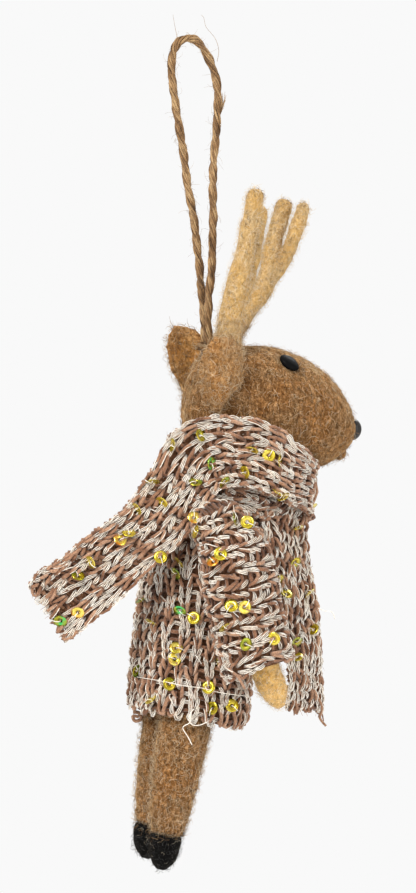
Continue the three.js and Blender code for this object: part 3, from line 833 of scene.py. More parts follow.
# Wool drawn together round the twine where it leaves the crown
crown_rings = np.linspace(0.02, 1, 7)[:, None] * np.array([3.6, 2.3])
crown_turn = np.linspace(0, TURN, 24, endpoint=False)
crown_side = crown_rings[:, :1] * np.cos(crown_turn)
crown_forward = crown_rings[:, 1:] * np.sin(crown_turn)
crown_up = -0.35 - 1.1 * np.linspace(0, 1, 7)[:, None] ** 2 + 0 * crown_side
crown_grid = figure_to_world(at(crown_side, crown_forward, crown_up))
crown_wool = paint(grid_object("crown_wool", crown_grid, True), brown_felt)
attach(crown_wool, "figure")
crown_roots = crown_grid.reshape(-1, 3)
crown_normals = np.broadcast_to([0.0, 0.05, 1.0], crown_roots.shape)
hairs("crown_hair", "figure", crown_roots, crown_normals, 420, brown_hair, (1, 3), (0.1, 0.9), 0.04, 1.2, 37)


# Beads

bead_swell = 1.02
beads = [("nose_bead_gloss", "nose_bead", nose_gloss), ("eye_right_bead", "eye_right", bead),
         ("eye_left_bead", "eye_left", bead)]
for name, node, material in beads:
    points, _, faces = cad_mesh(node, 0.16, 6)
    middle = points.mean(axis=0)
    made = paint(mesh_object(name, middle + (points - middle) * bead_swell, faces), material)
    stand_in(made, node, "black_bead", "figure")


# Knit surfaces

# Shares of length, half width and half depth down the sweater and down a sleeve
sweater_shares = [
    (0, 0.6, 0.6), (0.035, 0.76, 0.74), (0.106, 0.92, 0.9), (0.195, 0.985, 0.97), (0.3, 1, 1),
    (0.55, 1, 1), (0.8, 1, 1.015), (0.93, 1.012, 1.015), (1, 0.99, 1),
]
sleeve_shares = [(0, 0.93, 0.83), (0.2, 0.97, 0.92), (0.5, 1, 0.99), (0.8, 1, 1.01), (1, 0.98, 1)]

hem_forward, waist_back = 1.3, 0.6

profile_place = np.linspace(0, 1, 300)
profile = smooth_rows(sweater_shares, profile_place)
profile_run = np.hypot(np.diff(profile[:, 0] * sweater_length), np.diff(profile[:, 1] * sweater_half_width))
profile_run = np.concatenate([[0], np.cumsum(profile_run)])


def sweater_point(turn, run):
    """A place on the sweater: turn round it and millimetres down its skin."""
    place = np.interp(run, profile_run, profile_place)
    shares = smooth_rows(sweater_shares, place)
    angle = turn * TURN
    fold = fold_height * place**2 * np.cos(fold_count * angle)
    width = shares[..., 1] * sweater_half_width - knit_inset + fold
    depth = shares[..., 2] * sweater_half_depth - knit_inset + fold
    drop = sweater_top_drop + shares[..., 0] * sweater_length
    sway = hem_forward * step_between(0.58, 0.92, place)
    ahead = body_forward + sway - waist_back * step_between(0.1, 0.4, place)
    drop = drop + hem_lobe * place**6 * np.maximum(0, np.cos(angle - lobe_angle)) ** 6
    return at(width * np.cos(angle), ahead + depth * np.sin(angle), -drop)


# A sleeve bends over the shoulder from this far above its cuff, and its cap is gathered there
sleeve_straight = 24.5
sleeve_cap = 9.5
cap_gather = 0.78
sleeve_lean = math.radians(62)
sleeve_run = sleeve_length + sleeve_cap
sleeve_wales, sleeve_rows = 11, 26
sleeve_wale = (sleeve_run - 1.2) / (sleeve_wales - 1)
sleeve_fuller = 1.5
cuff_fuller = 0.9
cuff_dip = 1


def sleeve_point(side):
    def place(turn, run):
        """A place on the sleeve: turn round it and millimetres from the shoulder seam to the cuff.

        Before the seam the cloth closes over the shoulder."""
        closed = np.clip((1 - run) / sleeve_wale, 0, 1)
        from_cuff = sleeve_run - np.maximum(run, 1)
        share = np.clip((sleeve_length - from_cuff) / sleeve_length, 0, 1)
        bent = step_between(sleeve_straight, sleeve_run, from_cuff)
        shares = smooth_rows(sleeve_shares, share)
        lean = sleeve_lean * bent
        close = 1 - 0.16 * bent**2
        gather = 1 - cap_gather * closed
        half_width = (shares[..., 1] * sleeve_half_width - knit_inset) * (close + 0.12 * bent) * gather
        half_depth = (shares[..., 2] * sleeve_half_depth - knit_inset) * close * gather
        rise = np.minimum(from_cuff, sleeve_straight)
        arc = np.maximum(from_cuff - sleeve_straight, 0)
        inward = arc * 0.5 * bent
        angle = turn * TURN
        dip = cuff_dip * np.exp(-(from_cuff / 5) ** 2) * np.maximum(0, -np.sin(angle))
        up = rise + arc * (1 - 0.35 * bent) - sleeve_length - dip
        across = half_width * np.cos(angle)
        fuller = sleeve_fuller * np.exp(-((from_cuff - 23) / 9) ** 2)
        fuller = fuller + cuff_fuller * np.exp(-((from_cuff / 7) ** 2))
        along = half_depth * np.sin(angle) + fuller * np.maximum(0, np.sin(angle))
        local = at(-side * inward + side * across * np.cos(lean), along, up + across * np.sin(lean))
        return arm_to_figure(local, side)
    return place


def collar_edges(angle, outward):
    """Top and foot of the neck band at an angle from the left side through the front."""
    c, s = np.cos(angle), np.sin(angle)
    drop = collar_drop + collar_dip * s * s
    top_drop = drop + collar_front_dip * np.maximum(0, s) ** 2
    grow = outward - band_inset
    top = at((collar_top[0] + grow) * c, collar_top[2] + (collar_top[1] + grow) * s, -top_drop)
    foot = at((collar_foot[0] + grow) * c, collar_foot[2] + (collar_foot[1] + grow) * s, -drop - band_height)
    return top, foot


# Upper and lower edge of the end thrown back over the shoulder
tail_edges = [
    ((-14, 19.7, -20.4), (-16.6, 19.2, -34.2)), ((-15.6, 10.5, -16.6), (-18.2, 12, -32)),
    ((-15.6, 4, -16.6), (-18.6, 7, -31.8)), ((-14.8, -2.6, -16.9), (-18.8, 3.6, -32.3)),
    ((-13.8, -8, -19.8), (-18.8, 1.4, -33.2)), ((-13.3, -11.9, -25.2), (-18.2, 0.2, -34.6)),
    ((-13.3, -14.4, -31.6), (-17.4, -1.1, -37)), ((-13.3, -17.9, -37.8), (-16.6, -2.6, -40.8)),
    ((-13, -22.6, -43.9), (-15.4, -5.3, -45.9)), ((-12.5, -28.2, -49.2), (-14.3, -10.2, -51.3)),
    ((-11.8, -32.4, -53.8), (-12.8, -15.1, -57.9)), ((-11.1, -35.4, -56.7), (-11.6, -20.6, -64.7)),
    ((-10.6, -37.3, -59.7), (-10.8, -26.4, -70.7)),
]
collar_start, collar_end = math.radians(135), math.radians(490)
collar_turns = np.linspace(collar_start, collar_end, 25)
# The band starts under its other turn and ends over it
under_layer, over_layer = 1.1, 1.5
layer = -under_layer + under_layer * step_between(math.radians(180), math.radians(265), collar_turns)
layer = layer + over_layer * step_between(math.radians(400), math.radians(485), collar_turns)
band_top, band_foot = collar_edges(collar_turns, layer)
wrap_top = np.concatenate([band_top, [row[0] for row in tail_edges]])
wrap_foot = np.concatenate([band_foot, [row[1] for row in tail_edges]])


def strip_surface(top, foot, curl):
    """A cloth strip between two edge curves, by distance along its middle."""
    middle = (top + foot) / 2
    fine = np.linspace(0, 1, 900)
    run = run_along(smooth_rows(middle, fine))

    def place(across, along):
        spot = np.interp(along, run, fine)
        upper, lower = smooth_rows(top, spot), smooth_rows(foot, spot)
        share = across[..., None]
        behind, ahead = np.maximum(spot - 0.002, 0), np.minimum(spot + 0.002, 1)
        heading = smooth_rows(middle, ahead) - smooth_rows(middle, behind)
        normal = unit(np.cross(heading, lower - upper))
        puff = curl * (1 - (2 * across - 1) ** 4)
        return upper + (lower - upper) * share + normal * puff[..., None]

    return place, float(run[-1])


wrap_point, wrap_length = strip_surface(wrap_top, wrap_foot, 0.9)

# The hanging end: its middle line as shares of its reach, and edges half a strip to each side
front_root = np.array([-8.2, 22.4, -28])
front_reach = 52.6
front_turn = math.radians(54)
front_shares = [
    (0, 0.01, 0.02), (0, -0.012, -0.211), (0.006, 0.082, -0.498), (-0.004, 0.146, -0.73), (0, 0.188, -0.985),
]
front_middle = front_root + np.array(front_shares) * front_reach
front_across = np.array([math.cos(front_turn), math.sin(front_turn), 0])
front_right = front_middle + front_across * strip_width / 2
front_left = front_middle - front_across * strip_width / 2
front_left[0] = (-14, 14.4, -37.6)
front_right = np.concatenate([[(-13.4, 5, -26), (-12.2, 14, -25.4)], front_right])
front_left = np.concatenate([[(-14.9, 3, -36.4), (-15, 9.2, -37.2)], front_left])
front_left -= np.outer([0, 0, 0, 1.8, 0.8, 0, 0], front_across)
front_right += np.outer([0, 0, 0, 0.6, 0, -0.9, -0.6], front_across)
front_point, front_length = strip_surface(front_right, front_left, 0.8)

# One leg of a stitch runs from the middle of its wale outwards, over the foot of the next stitch
leg_foot, leg_head = 0.08, 0.31
leg_drop, leg_reach = 0.2, 1.6
leg_run = np.linspace(0, 1, leg_samples)
leg_arch = np.sin(math.pi * leg_run)
wale_wander, row_wander, yarn_wobble = 0.13, 0.25, 0.12
# Shares of silver stitches with brown yarn under them and of brown ones crossed by a thin silver thread
under_share, crossing_share = 0.75, 0.3
rung_shine, purl_shine, edge_shine = 0.14, 0.3, 0.45
under_radius, edge_radius, stray_radius = 0.32, 0.36, 0.11
thin_tint = 0.6


def silver_stitches(wales, rows, close, draw):
    """Which stitches show the silver yarn: short runs along every wale, "close" of them one stitch apart."""
    shown = np.zeros((wales, rows), bool)
    for wale in range(wales):
        row = -int(draw.integers(0, 3))
        while row < rows:
            run = int(draw.choice([1, 2, 3, 4], p=[0.28, 0.42, 0.22, 0.08]))
            shown[wale, max(row, 0):max(row + run, 0)] = True
            row += run + int(draw.choice([1, 2], p=[close, 1 - close]))
    return shown.ravel()


def knit_placer(lay, wales, rows, round_x, round_y, outward, seed):
    """Places knit points: wale, row and millimetres out of the cloth, its wales wandering a little."""
    small = 0.04

    def place(x, y, h):
        x, y, h = np.broadcast_arrays(x, y, h)
        base = lay(x, y)
        x = x + wale_wander * lumps(base, 10, seed + 1)
        y = y + row_wander * lumps(base, 12, seed + 2)
        inside_x = x if round_x else np.clip(x, small, wales - small)
        inside_y = y if round_y else np.clip(y, small, rows - small)
        over_x = (lay(inside_x + small, inside_y) - lay(inside_x - small, inside_y)) / (2 * small)
        over_y = (lay(inside_x, inside_y + small) - lay(inside_x, inside_y - small)) / (2 * small)
        normal = unit(np.cross(over_x, over_y)) * outward
        spot = lay(inside_x, inside_y) + over_x * (x - inside_x)[..., None]
        spot = spot + over_y * (y - inside_y)[..., None]
        return spot + normal * h[..., None], normal

    return place


def silver_chain(centre, normal, draw, seed):
    """The fine filaments of silver yarn lying side by side, drawn together at both ends, and their tints."""
    pinch = 0.3 + 0.7 * np.sin(np.linspace(0, math.pi, centre.shape[1])) ** 0.7
    beside = unit(np.cross(unit(np.gradient(centre, axis=1)), normal))
    run = np.linalg.norm(np.diff(centre, axis=1), axis=-1).cumsum(axis=1)
    run = np.concatenate([np.zeros((len(centre), 1)), run], axis=1)
    bright = draw.normal(0, 0.14, (len(centre), 1))
    chains, tints = [], []
    for index in range(silver_filaments):
        wave = silver_height * np.sin(run / silver_pitch * TURN + draw.uniform(0, TURN, (len(centre), 1)))
        across = silver_breadth * (2 * index / (silver_filaments - 1) - 1) * pinch + 0.4 * wave
        chains.append(centre + across[..., None] * beside + wave[..., None] * normal)
        tints.append(np.clip(0.62 + bright + 0.25 * lumps(centre, 2.2, seed + index), 0, 1))
    return np.concatenate(chains), np.concatenate(tints)


class YarnLines:
    """Lines of brown and silver yarn, gathered while a cloth is knitted."""

    def __init__(self):
        self.brown, self.radii, self.shades = [], [], []
        self.silver, self.normals = [], []

    def add_brown(self, lines, radii, shade):
        self.brown.append(lines)
        self.radii.append(np.broadcast_to(radii, lines.shape[:2]))
        self.shades.append(np.full(len(lines), shade))

    def add(self, lines, normals, shiny, radii, shade=0.0):
        """Silver lines where shiny, and brown ones of these radii elsewhere, with shade added to their tint:
        painted light where above 0, painted shade where below.
        """
        self.add_brown(lines[~shiny], np.broadcast_to(radii, lines.shape[:2])[~shiny], shade)
        self.silver.append(lines[shiny])
        self.normals.append(normals[shiny])


def stitch_grid(wales, rows):
    """The wale and the row of every stitch, as columns."""
    grids = np.meshgrid(np.arange(wales), np.arange(rows), indexing="ij")
    return (grid.ravel().astype(float)[:, None] for grid in grids)


def edge_lines(place, wales, rows, round_x, round_y, draw):
    """Loops along the open edges of a cloth, and frayed ends where a strip is cut."""
    t, arch = leg_run, leg_arch
    loops, frays = [], []
    if not round_x:
        edge_row = np.arange(rows).astype(float)[:, None]
        for edge, way in ((0, -1), (wales, 1)):
            bulge = draw.uniform(0, 0.07, (rows, 1))
            x = edge - way * 0.17 + way * (0.1 + bulge) * arch
            y = edge_row - 0.15 + 1.3 * t + draw.normal(0, 0.12, (rows, 1))
            loops.append(place(x, y, 0.25 * arch + draw.normal(0, 0.1, (rows, 1))))
    if not round_y:
        spots = np.arange(2 * wales)[:, None] / 2 + 0.25 + draw.normal(0, 0.08, (2 * wales, 1))
        for edge, way in ((0, -1), (rows, 1)):
            bulge = draw.uniform(0.1, 0.75, (2 * wales, 1)) ** 1.4
            x = spots - 0.2 * np.cos(math.pi * t) * draw.choice([-1, 1], (2 * wales, 1))
            y = edge - way * 0.3 + way * (0.3 + bulge) * arch
            loops.append(place(x, y, draw.normal(0, 0.25, (2 * wales, 1)) * arch))
        if not round_x:
            ends = wales * 3
            reach = draw.uniform(0.2, 0.9, (ends, 1))
            for edge, way in ((0, -1), (rows, 1)):
                curve = draw.normal(0, 0.25, (ends, 1)) * np.sin(2.4 * t) + draw.normal(0, 0.2, (ends, 1)) * t
                x = draw.uniform(0.1, wales - 0.1, (ends, 1)) + curve
                y = edge - way * 0.5 + way * (0.5 + reach) * t
                frays.append(place(x, y, draw.normal(0, 0.5, (ends, 1)) * t)[0])
    return loops, frays


def stray_threads(name, place, wales, rows, round_x, depth, draw):
    """Stray threads lying over a knit."""
    count = max(4, wales * rows // 22)
    t = np.linspace(0, 1, 12)
    arch = np.sin(math.pi * t)
    heading = draw.uniform(0, TURN, (count, 1))
    length, curve = draw.uniform(0.5, 1.3, (count, 1)), draw.normal(0, 0.35, (count, 1))
    x = draw.uniform(0.6, wales - 0.6, (count, 1)) + length * 0.6 * np.cos(heading) * t + curve * arch * 0.4
    y = draw.uniform(1, rows - 2, (count, 1)) + length * 1.4 * np.sin(heading) * t + curve * arch
    lines, _ = place(x if round_x else np.clip(x, 0.1, wales - 0.1), y, depth * (0.6 + 1.1 * arch))
    tints = draw.uniform(0.2, 1, count)
    return paint(tube_object(name, figure_to_world(lines), stray_radius, 4, tints), silver_yarn)


def add_legs(yarns, place, wales, rows, silver, depth, draw):
    """Two legs for every stitch. Returns the thin silver lines that cross some brown ones."""
    wale, row = stitch_grid(wales, rows)
    count = len(silver)
    t, arch = leg_run, leg_arch
    width, reach = draw.normal(1, 0.16, (count, 1)), draw.normal(1, 0.12, (count, 1))
    lean, shift = draw.normal(0, 0.07, (count, 1)), draw.normal(0, 0.04, (count, 1))
    lift = draw.uniform(0.7, 1.3, (count, 1))
    spread = leg_foot + (leg_head - leg_foot) * t**0.85
    crossings = []
    for way in (-1, 1):
        x = wale + 0.5 + shift + way * spread * width + lean * t
        y = row - leg_drop + leg_reach * reach * t * draw.normal(1, 0.05, (count, 1))
        centre, normal = place(x, y, depth * lift * (1.5 * arch**0.7 - 0.55))
        thickness = brown_radius * (0.78 + 0.26 * arch) * draw.normal(1, 0.1, (count, 1))
        # Front legs a little lighter: painted light
        yarns.add(centre, normal, silver, thickness, 0.1)
        beside = unit(np.cross(unit(np.gradient(centre, axis=1)), normal))
        under = silver & (draw.uniform(size=count) < under_share)
        # Brown yarn under the silver a little darker: painted shade
        yarns.add_brown((centre - normal * 0.36 - beside * 0.2 * way)[under], under_radius, -0.05)
        crossing = ~silver & (draw.uniform(size=count) < crossing_share)
        crossings.append((centre + normal * 0.36 + beside * 0.22)[crossing])
    return np.concatenate(crossings)


def add_rungs(yarns, place, wales, rows, depth, draw):
    """Rungs from each of these wales to the next."""
    wale, row = stitch_grid(wales, rows)
    count = len(wale)
    y = row + 0.4 + draw.normal(0, 0.1, (count, 1)) + draw.normal(0.1, 0.1, (count, 1)) * leg_arch
    h = depth * draw.uniform(0.8, 1.2, (count, 1)) * (0.7 * leg_arch**0.8 - 0.7)
    rungs, normal = place(wale + 0.68 + 0.64 * leg_run, y, h)
    shiny = draw.uniform(size=count) < rung_shine
    # The deeper rungs are darkened: painted shade
    yarns.add(rungs, normal, shiny, brown_radius * draw.normal(1, 0.1, (count, 1)), -0.2)


def add_purls(yarns, place, wales, rows, depth, draw):
    """Purl bumps on the reverse of a strip, two for every stitch."""
    wale, row = stitch_grid(wales, rows)
    h = -strip_sink - 0.1 - depth * 0.8 * leg_arch**0.7
    for half, way in ((0, -1), (0.5, 1)):
        y = row + half + 0.25 + draw.normal(0, 0.08, (len(wale), 1)) + 0.22 * leg_arch * way
        bumps, normal = place(wale + 0.04 + 0.92 * leg_run, y, h)
        yarns.add(bumps, -normal, draw.uniform(size=len(bumps)) < purl_shine, brown_radius)


def knit(name, place, wales, rows, round_x, round_y, depth, close, seed):
    """The yarns of a knit with its looped edges and stray threads, and places and normals for its fluff."""
    draw = generator(seed)
    silver = silver_stitches(wales, rows, close, draw)
    yarns = YarnLines()
    thin = add_legs(yarns, place, wales, rows, silver, depth, draw)
    add_rungs(yarns, place, wales if round_x else wales - 1, rows, depth, draw)
    if not (round_x or round_y):
        add_purls(yarns, place, wales, rows, depth, draw)
    loops, frays = edge_lines(place, wales, rows, round_x, round_y, draw)
    for lines, normal in loops:
        yarns.add(lines, normal, draw.uniform(size=len(lines)) < edge_shine, edge_radius)

    brown = np.concatenate(yarns.brown)
    brown = brown + yarn_wobble * np.stack([lumps(brown, 1.8, seed + axis) for axis in range(3)], axis=-1)
    brown_tint = 0.5 + 0.22 * lumps(brown, 3, seed + 30) + draw.normal(0, 0.12, (len(brown), 1))
    # Painted light and shade by depth: front legs lighter, rungs and yarn under silver darker
    brown_tint = np.clip(brown_tint + np.concatenate(yarns.shades)[:, None], 0, 1)
    chains, chain_tint = silver_chain(np.concatenate(yarns.silver), np.concatenate(yarns.normals), draw,
                                      seed + 20)
    chains = np.concatenate([chains, thin])
    chain_tint = np.concatenate([chain_tint, np.full(thin.shape[:2], thin_tint)])

    def piece(part, lines, radii, sides, tint, yarn):
        return paint(tube_object(f"{name}_{part}", figure_to_world(lines), radii, sides, tint), yarn)

    made = [piece("brown_yarn", brown, np.concatenate(yarns.radii), 5, brown_tint, brown_yarn),
            piece("silver_yarn", chains, silver_radius, 3, chain_tint, silver_yarn),
            stray_threads(f"{name}_stray_threads", place, wales, rows, round_x, depth, draw)]
    if frays:
        lines = np.concatenate(frays)
        radii = draw.choice([0.06, 0.1, 0.24], (len(lines), 1)) * np.linspace(1, 0.6, leg_samples)
        made.append(piece("frayed_ends", lines, radii, 5, draw.uniform(0.2, 1, len(lines)), brown_yarn))
    spots = rows * wales * 2
    roots, outward = place(draw.uniform(0, wales, (spots, 1)), draw.uniform(0, rows, (spots, 1)), 0.3)
    return made, roots[:, 0], outward[:, 0]


def backing(name, lay, wales, rows, wraps, outward, sink, inset):
    """The plain cloth behind the loops, darkened as painted shade of the gaps between them."""
    x = np.linspace(inset, wales - inset, wales * 3 + 1)[: -1 if wraps else None]
    y = np.linspace(inset, rows - inset, rows * 2 + 1)
    grid_y, grid_x = np.meshgrid(y, x, indexing="ij")
    points = lay(grid_x, grid_y)
    small = 0.02
    normal = unit(np.cross(lay(grid_x + small, grid_y) - lay(grid_x - small, grid_y),
                           lay(grid_x, grid_y + small) - lay(grid_x, grid_y - small))) * outward
    return paint(grid_object(name, figure_to_world(points - normal * sink), wraps), knit_shade)


def knitted(name, body, lay, wales, rows, seed, close, round_x=False, round_y=False, outward=1, depth=0.6,
            sink=strip_sink):
    """One knitted cloth: its backing, the two yarns on it and their fluff.

    lay places a wale and row, the round directions close on themselves, outward is the side of the loops,
    depth their height, sink the backing's depth and close how many silver runs are a stitch apart."""
    inset = 0 if round_x or round_y else edge_inset
    cloth = backing(f"{name}_cloth", lay, wales, rows, round_x, outward, sink, inset)
    place = knit_placer(lay, wales, rows, round_x, round_y, outward, seed)
    yarns, roots, normals = knit(name, place, wales, rows, round_x, round_y, depth, close, seed)
    draw = generator(seed + 3)
    lengths = draw.uniform(0.5, 2, len(roots))
    paths = figure_to_world(hair_paths(roots, normals, lengths, (0.1, 0.9), 1.5, hair_points, seed + 4))
    fluff = tube_object(f"{name}_fluff", paths, fluff_radii, 3, draw.uniform(0.3, 1, len(roots)))
    paint(fluff, brown_yarn)
    for piece in (cloth, *yarns, fluff):
        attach(piece, body)
    return cloth, [*yarns, fluff]


sweater_wales, sweater_rows = 23, 27
sweater_top_run = 6
sweater_end_run = float(profile_run[-1]) - 0.5
sweater_row = (sweater_end_run - sweater_top_run) / sweater_rows
sweater_cloth, sweater_yarns = knitted(
    "sweater", "figure", lambda x, y: sweater_point(x / sweater_wales, sweater_end_run - y * sweater_row),
    sweater_wales, sweater_rows, 101, close=0.66, round_x=True, sink=0.7)

sleeve_parts = {}
for side, sign in both_sides:
    spot = sleeve_point(sign)
    sleeve_parts[side] = knitted(
        f"sleeve_{side}", f"arm_{side}",
        lambda x, y, spot=spot: spot(y / sleeve_rows + 0.5, 1 + (x - 1) * sleeve_wale),
        sleeve_wales, sleeve_rows, 150 + sign * 10, close=0.88, round_y=True, outward=sign, depth=0.55,
        sink=0.45)

wrap_wales, wrap_rows = 5, int(wrap_length / row_pitch)
wrap_cloth, wrap_yarns = knitted(
    "scarf_wrap", "figure", lambda x, y: wrap_point(x / wrap_wales, wrap_length * y / wrap_rows),
    wrap_wales, wrap_rows, 201, close=0.64)
front_wales, front_rows = 4, int(front_length / row_pitch)
front_cloth, front_yarns = knitted(
    "scarf_front", "figure", lambda x, y: front_point(x / front_wales, front_length * y / front_rows),
    front_wales, front_rows, 231, close=0.84, outward=-1)

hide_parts("sweater_body")
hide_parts("scarf")
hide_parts("sleeve_right")
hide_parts("sleeve_left")


# Sequins and loose threads

# Sequins that the photo shows: places across and down the picture, tilt from facing the camera in degrees,
# and tint, which sets the painted reflection of each sequin
seen_sequins = [
    (171.8, 444.9, 68, 0.5), (199.9, 435.8, 50, 0.35), (251.5, 449.9, 68, 0.6), (268.2, 455.7, 20, 0.6),
    (278, 460.7, 68, 0.6), (210.8, 464, 50, 0.15), (195.6, 482.4, 50, 0.3), (152.2, 481.3, 68, 0.4),
    (162, 501.9, 55, 0.6), (137.1, 508.4, 68, 0.6), (195.2, 518.2, 40, 0.8), (119.7, 539.8, 35, 0.8),
    (128.4, 533.3, 55, 0.6), (160.5, 557.2, 18, 0.6), (90.5, 561.5, 55, 0.6), (77.5, 575.6, 50, 0.3),
    (77.5, 612.5, 30, 0.8), (60.1, 620.7, 35, 0.15), (223.8, 482.4, 60, 0.25), (244.4, 472.6, 55, 0.6),
    (276.9, 494.3, 68, 0.6), (282.3, 498.6, 68, 0.6), (246.6, 522.5, 18, 0.6), (233.6, 520.3, 72, 0.3),
    (220.5, 553.9, 22, 0.6), (214, 561.5, 50, 0.92), (231.4, 606, 30, 0.6), (244.4, 607, 20, 0.75),
    (224.9, 626.6, 70, 0.5), (245.5, 643.9, 30, 0.25), (273.2, 638.5, 25, 0.6), (197.8, 531.8, 55, 0.6),
    (180.4, 562.6, 68, 0.6), (177.2, 573.4, 55, 0.25), (180.4, 610.3, 45, 0.1), (193.9, 617.9, 20, 0.6),
    (153.3, 622.2, 68, 0.6), (143.6, 600.5, 68, 0.25), (176.5, 648.2, 35, 0.75), (175, 659.1, 20, 0.75),
    (169.6, 684, 25, 0.35), (152.7, 700.3, 68, 0.6), (138.2, 671, 68, 0.25), (208.2, 687.3, 22, 0.6),
    (231.4, 705.7, 22, 0.6), (211.9, 707.9, 40, 0.35), (217.7, 663.4, 68, 0.6), (295.3, 527.9, 68, 0.6),
    (293.6, 562.6, 45, 0.35), (276.9, 579.9, 50, 0.4), (284.9, 594, 50, 0.4), (307.3, 593, 68, 0.6),
    (311.6, 629.8, 55, 0.6), (294.9, 641.7, 45, 0.25), (295, 657.2, 55, 0.6), (323.5, 694.9, 68, 0.2),
]
sequin_radius = 1.5
sequin_middle = 0.9
sequin_hole = 0.42
sequin_cup = 0.22
sequin_film_half = 0.05
sequin_corners = 20
sequin_thread_radius = 0.1
# The section of a sequin round its hole: radius, share of the cup's rise and face
sequin_rings = [(sequin_hole, 0, 1), (sequin_middle, 0.5, 1), (sequin_radius, 1, 1),
                (sequin_radius, 1, -1), (sequin_middle, 0.5, -1), (sequin_hole, 0, -1)]
# A tilted sequin stands off the yarns by this much times the sine of its tilt
sequin_stand = 0.5
steepest = 0.5
hidden_sequins = {"sweater": 26, "sleeve_left": 11, "scarf_wrap": 12}
picture_scale = image_height / picture_height

# Each cloth with its body, how far over its backing the sequins lie, and the side its normals point to
cloths = {"sweater": (sweater_cloth, "figure", 1.35, -1),
          "sleeve_right": (sleeve_parts["right"][0], "arm_right", 1.25, 1),
          "scarf_wrap": (wrap_cloth, "figure", 1.05, -1),
          "scarf_front": (front_cloth, "figure", 1.05, 1),
          "sleeve_left": (sleeve_parts["left"][0], "arm_left", 1.25, -1)}
bpy.context.view_layer.update()
graph = bpy.context.evaluated_depsgraph_get()
trees = {name: BVHTree.FromObject(cloth, graph) for name, (cloth, *_) in cloths.items()}
eye_point = target + back * camera_distance * MM
to_camera = np.array(back)


def ray_to(across, down):
    """The way from the camera through a place in the picture."""
    way = picture_right * (across - image_width / 2) + picture_up * (image_height / 2 - down)
    return (way / picture_scale * MM - back * camera_distance * MM).normalized()


def on_cloth(across, down):
    """The nearest cloth seen at a place in the picture: its name, the spot over its yarns and its normal."""
    way = ray_to(across, down)
    found = []
    for name, tree in trees.items():
        spot, normal, _, far = tree.ray_cast(eye_point, way)
        if spot is not None:
            normal = normal if normal.dot(way) < 0 else -normal
            found.append((far, name, spot, normal))
    if not found:
        return None
    _, name, spot, normal = min(found, key=lambda hit: hit[0])
    rise = cloths[name][2] / max(steepest, -normal.dot(way))
    return name, np.array(spot / MM - way * rise), np.array(normal)


def sequin_mesh(spots, axes):
    """Thin cupped rings round their axes: points and faces."""
    turn = np.linspace(0, TURN, sequin_corners, endpoint=False)[:, None]
    here = np.arange(sequin_corners)
    there = (here + 1) % sequin_corners
    ring_count = len(sequin_rings)
    points, faces = [], []
    for index, (spot, axis) in enumerate(zip(spots, axes)):
        first = unit(np.cross(axis, [0.3, 0.5, 0.81]))
        second = np.cross(axis, first)
        for ring, (radius, share, face) in enumerate(sequin_rings):
            lift = sequin_cup * share**2 + face * sequin_film_half
            points.append(spot + radius * (np.cos(turn) * first + np.sin(turn) * second) + axis * lift)
            low = (index * ring_count + ring) * sequin_corners
            high = (index * ring_count + (ring + 1) % ring_count) * sequin_corners
            faces.append(np.stack([low + here, low + there, high + there, high + here], axis=1))
    return np.concatenate(points), [np.concatenate(faces)]


draw = generator(401)
sewn = {name: [] for name in cloths}
for across, down, tilt, tint in seen_sequins:
    hit = on_cloth(across, down)
    if hit:
        name, spot, normal = hit
        facing = unit(to_camera + 0.35 * normal)
        aside = unit(np.cross(facing, draw.normal(size=3)))
        angle = math.radians(tilt)
        axis = math.cos(angle) * facing + math.sin(angle) * aside
        sewn[name].append((spot + normal * sequin_stand * math.sin(angle), axis, normal, tint))
for name, count in hidden_sequins.items():
    cloth, _, rise, outward = cloths[name]
    spots = np.array([tuple(vertex.co) for vertex in cloth.data.vertices]) / MM
    normals = np.array([tuple(vertex.normal) for vertex in cloth.data.vertices]) * outward
    chosen = np.flatnonzero(normals @ to_camera < -0.2)
    for index in draw.choice(chosen, count, replace=False):
        normal = normals[index]
        angle = math.radians(draw.choice([20, 45, 68]))
        axis = math.cos(angle) * normal + math.sin(angle) * unit(np.cross(normal, draw.normal(size=3)))
        # Tints that set each hidden sequin's painted reflection
        tint = draw.choice([0.6, 0.6, 0.35, 0.15, 0.9, 0.25])
        spot = spots[index] + normal * (rise + sequin_stand * math.sin(angle))
        sewn[name].append((spot, axis, normal, tint))

trims = {}
for name, rows in sewn.items():
    spots, axes, normals = (np.array([row[part] for row in rows]) for part in range(3))
    points, faces = sequin_mesh(spots, axes)
    tints = np.repeat([row[3] for row in rows], len(points) // len(rows))
    rings = paint(mesh_object(f"{name}_sequins", points, faces, tints), sequin_film)
    aside = unit(np.cross(axes, draw.normal(size=axes.shape)))
    stitch = np.stack([spots - axes * 0.5 - normals * 0.3, spots + axes * 0.25,
                       spots + axes * 0.55 + aside * 0.8, spots + axes * 0.3 + aside * 1.75,
                       spots + aside * 1.9 - normals * 0.8], axis=1)
    tints = draw.uniform(0.5, 1, len(rows))
    thread = tube_object(f"{name}_sequin_threads", stitch, sequin_thread_radius, 4, tints)
    trims[name] = [rings, paint(thread, silver_yarn)]

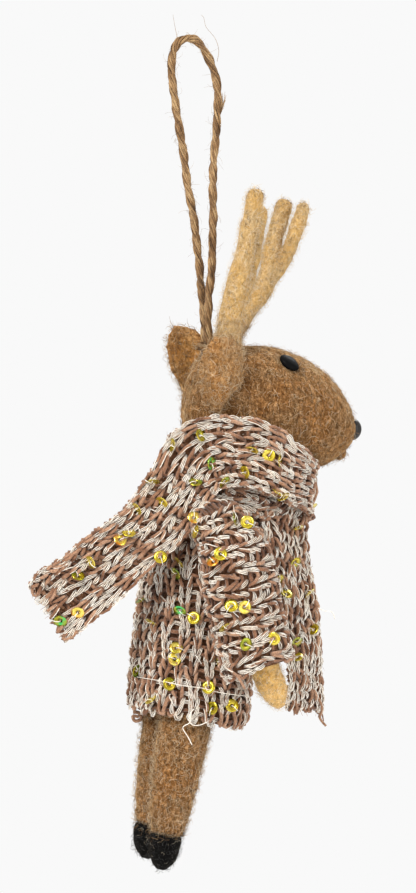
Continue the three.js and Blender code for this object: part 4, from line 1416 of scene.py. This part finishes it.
# Loose threads: name, cloth, whether they hang free at their first place's depth, how far over the cloth
# they lie, radius, yarn and their places in the picture
loose_threads = [
    ("sweater_white_thread", "sweater", False, 0.9, 0.09, silver_yarn,
     [(137, 677), (161, 681), (185, 686), (202, 688), (222, 693), (246, 696)]),
    ("sweater_hanging_thread", "sweater", True, 1.2, 0.11, silver_yarn,
     [(190, 712), (190, 722), (184, 726), (183, 729), (188, 737), (192, 745)]),
    ("sweater_hanging_loop", "sweater", True, 2.8, 0.1, silver_yarn,
     [(194, 709), (190, 714), (189, 721), (193, 725), (200, 725), (207, 722)]),
    ("sweater_pill", "sweater", True, 0.6, 0.42, brown_yarn,
     [(133, 712), (139, 713), (141, 719), (135, 721), (133, 716), (139, 717)]),
    ("scarf_side_thread", "scarf_front", True, 0.5, 0.1, silver_yarn,
     [(318, 608), (325, 611), (332, 612), (335, 619)]),
    ("scarf_foot_yarn", "scarf_front", True, 0.5, 0.3, brown_yarn,
     [(318, 697), (322, 708), (320, 718), (326, 726)]),
    ("sleeve_frayed_yarn", "sleeve_right", False, 0.5, 0.3, brown_yarn,
     [(222, 662), (230, 670), (238, 677), (245, 689)]),
    ("sleeve_frayed_silver", "sleeve_right", False, 0.5, 0.12, silver_yarn,
     [(218, 655), (226, 668), (234, 673), (243, 683)]),
]
thread_leap = 16
for thread_name, name, free, lift, radius, yarn, places in loose_threads:
    line = []
    last = np.mean([tuple(vertex.co) for vertex in cloths[name][0].data.vertices], axis=0) / MM
    for across, down in places:
        way = ray_to(across, down)
        hit = on_cloth(across, down)
        if hit and (not line or not free and np.linalg.norm(hit[1] - last) < thread_leap):
            last = hit[1] - np.array(way) * lift
        else:
            far = ((Vector(last) * MM - eye_point).dot(back)) / way.dot(back)
            last = np.array(eye_point + way * far) / MM
        line.append(last)
    piece = tube_object(thread_name, even_curve(line, 24)[None], radius, 6, [0.7])
    trims[name].append(paint(piece, yarn))
for name, pieces in trims.items():
    for piece in pieces:
        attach(piece, cloths[name][1])


# Each sleeve's cloth and yarns

for side, _ in both_sides:
    cloth, yarns = sleeve_parts[side]
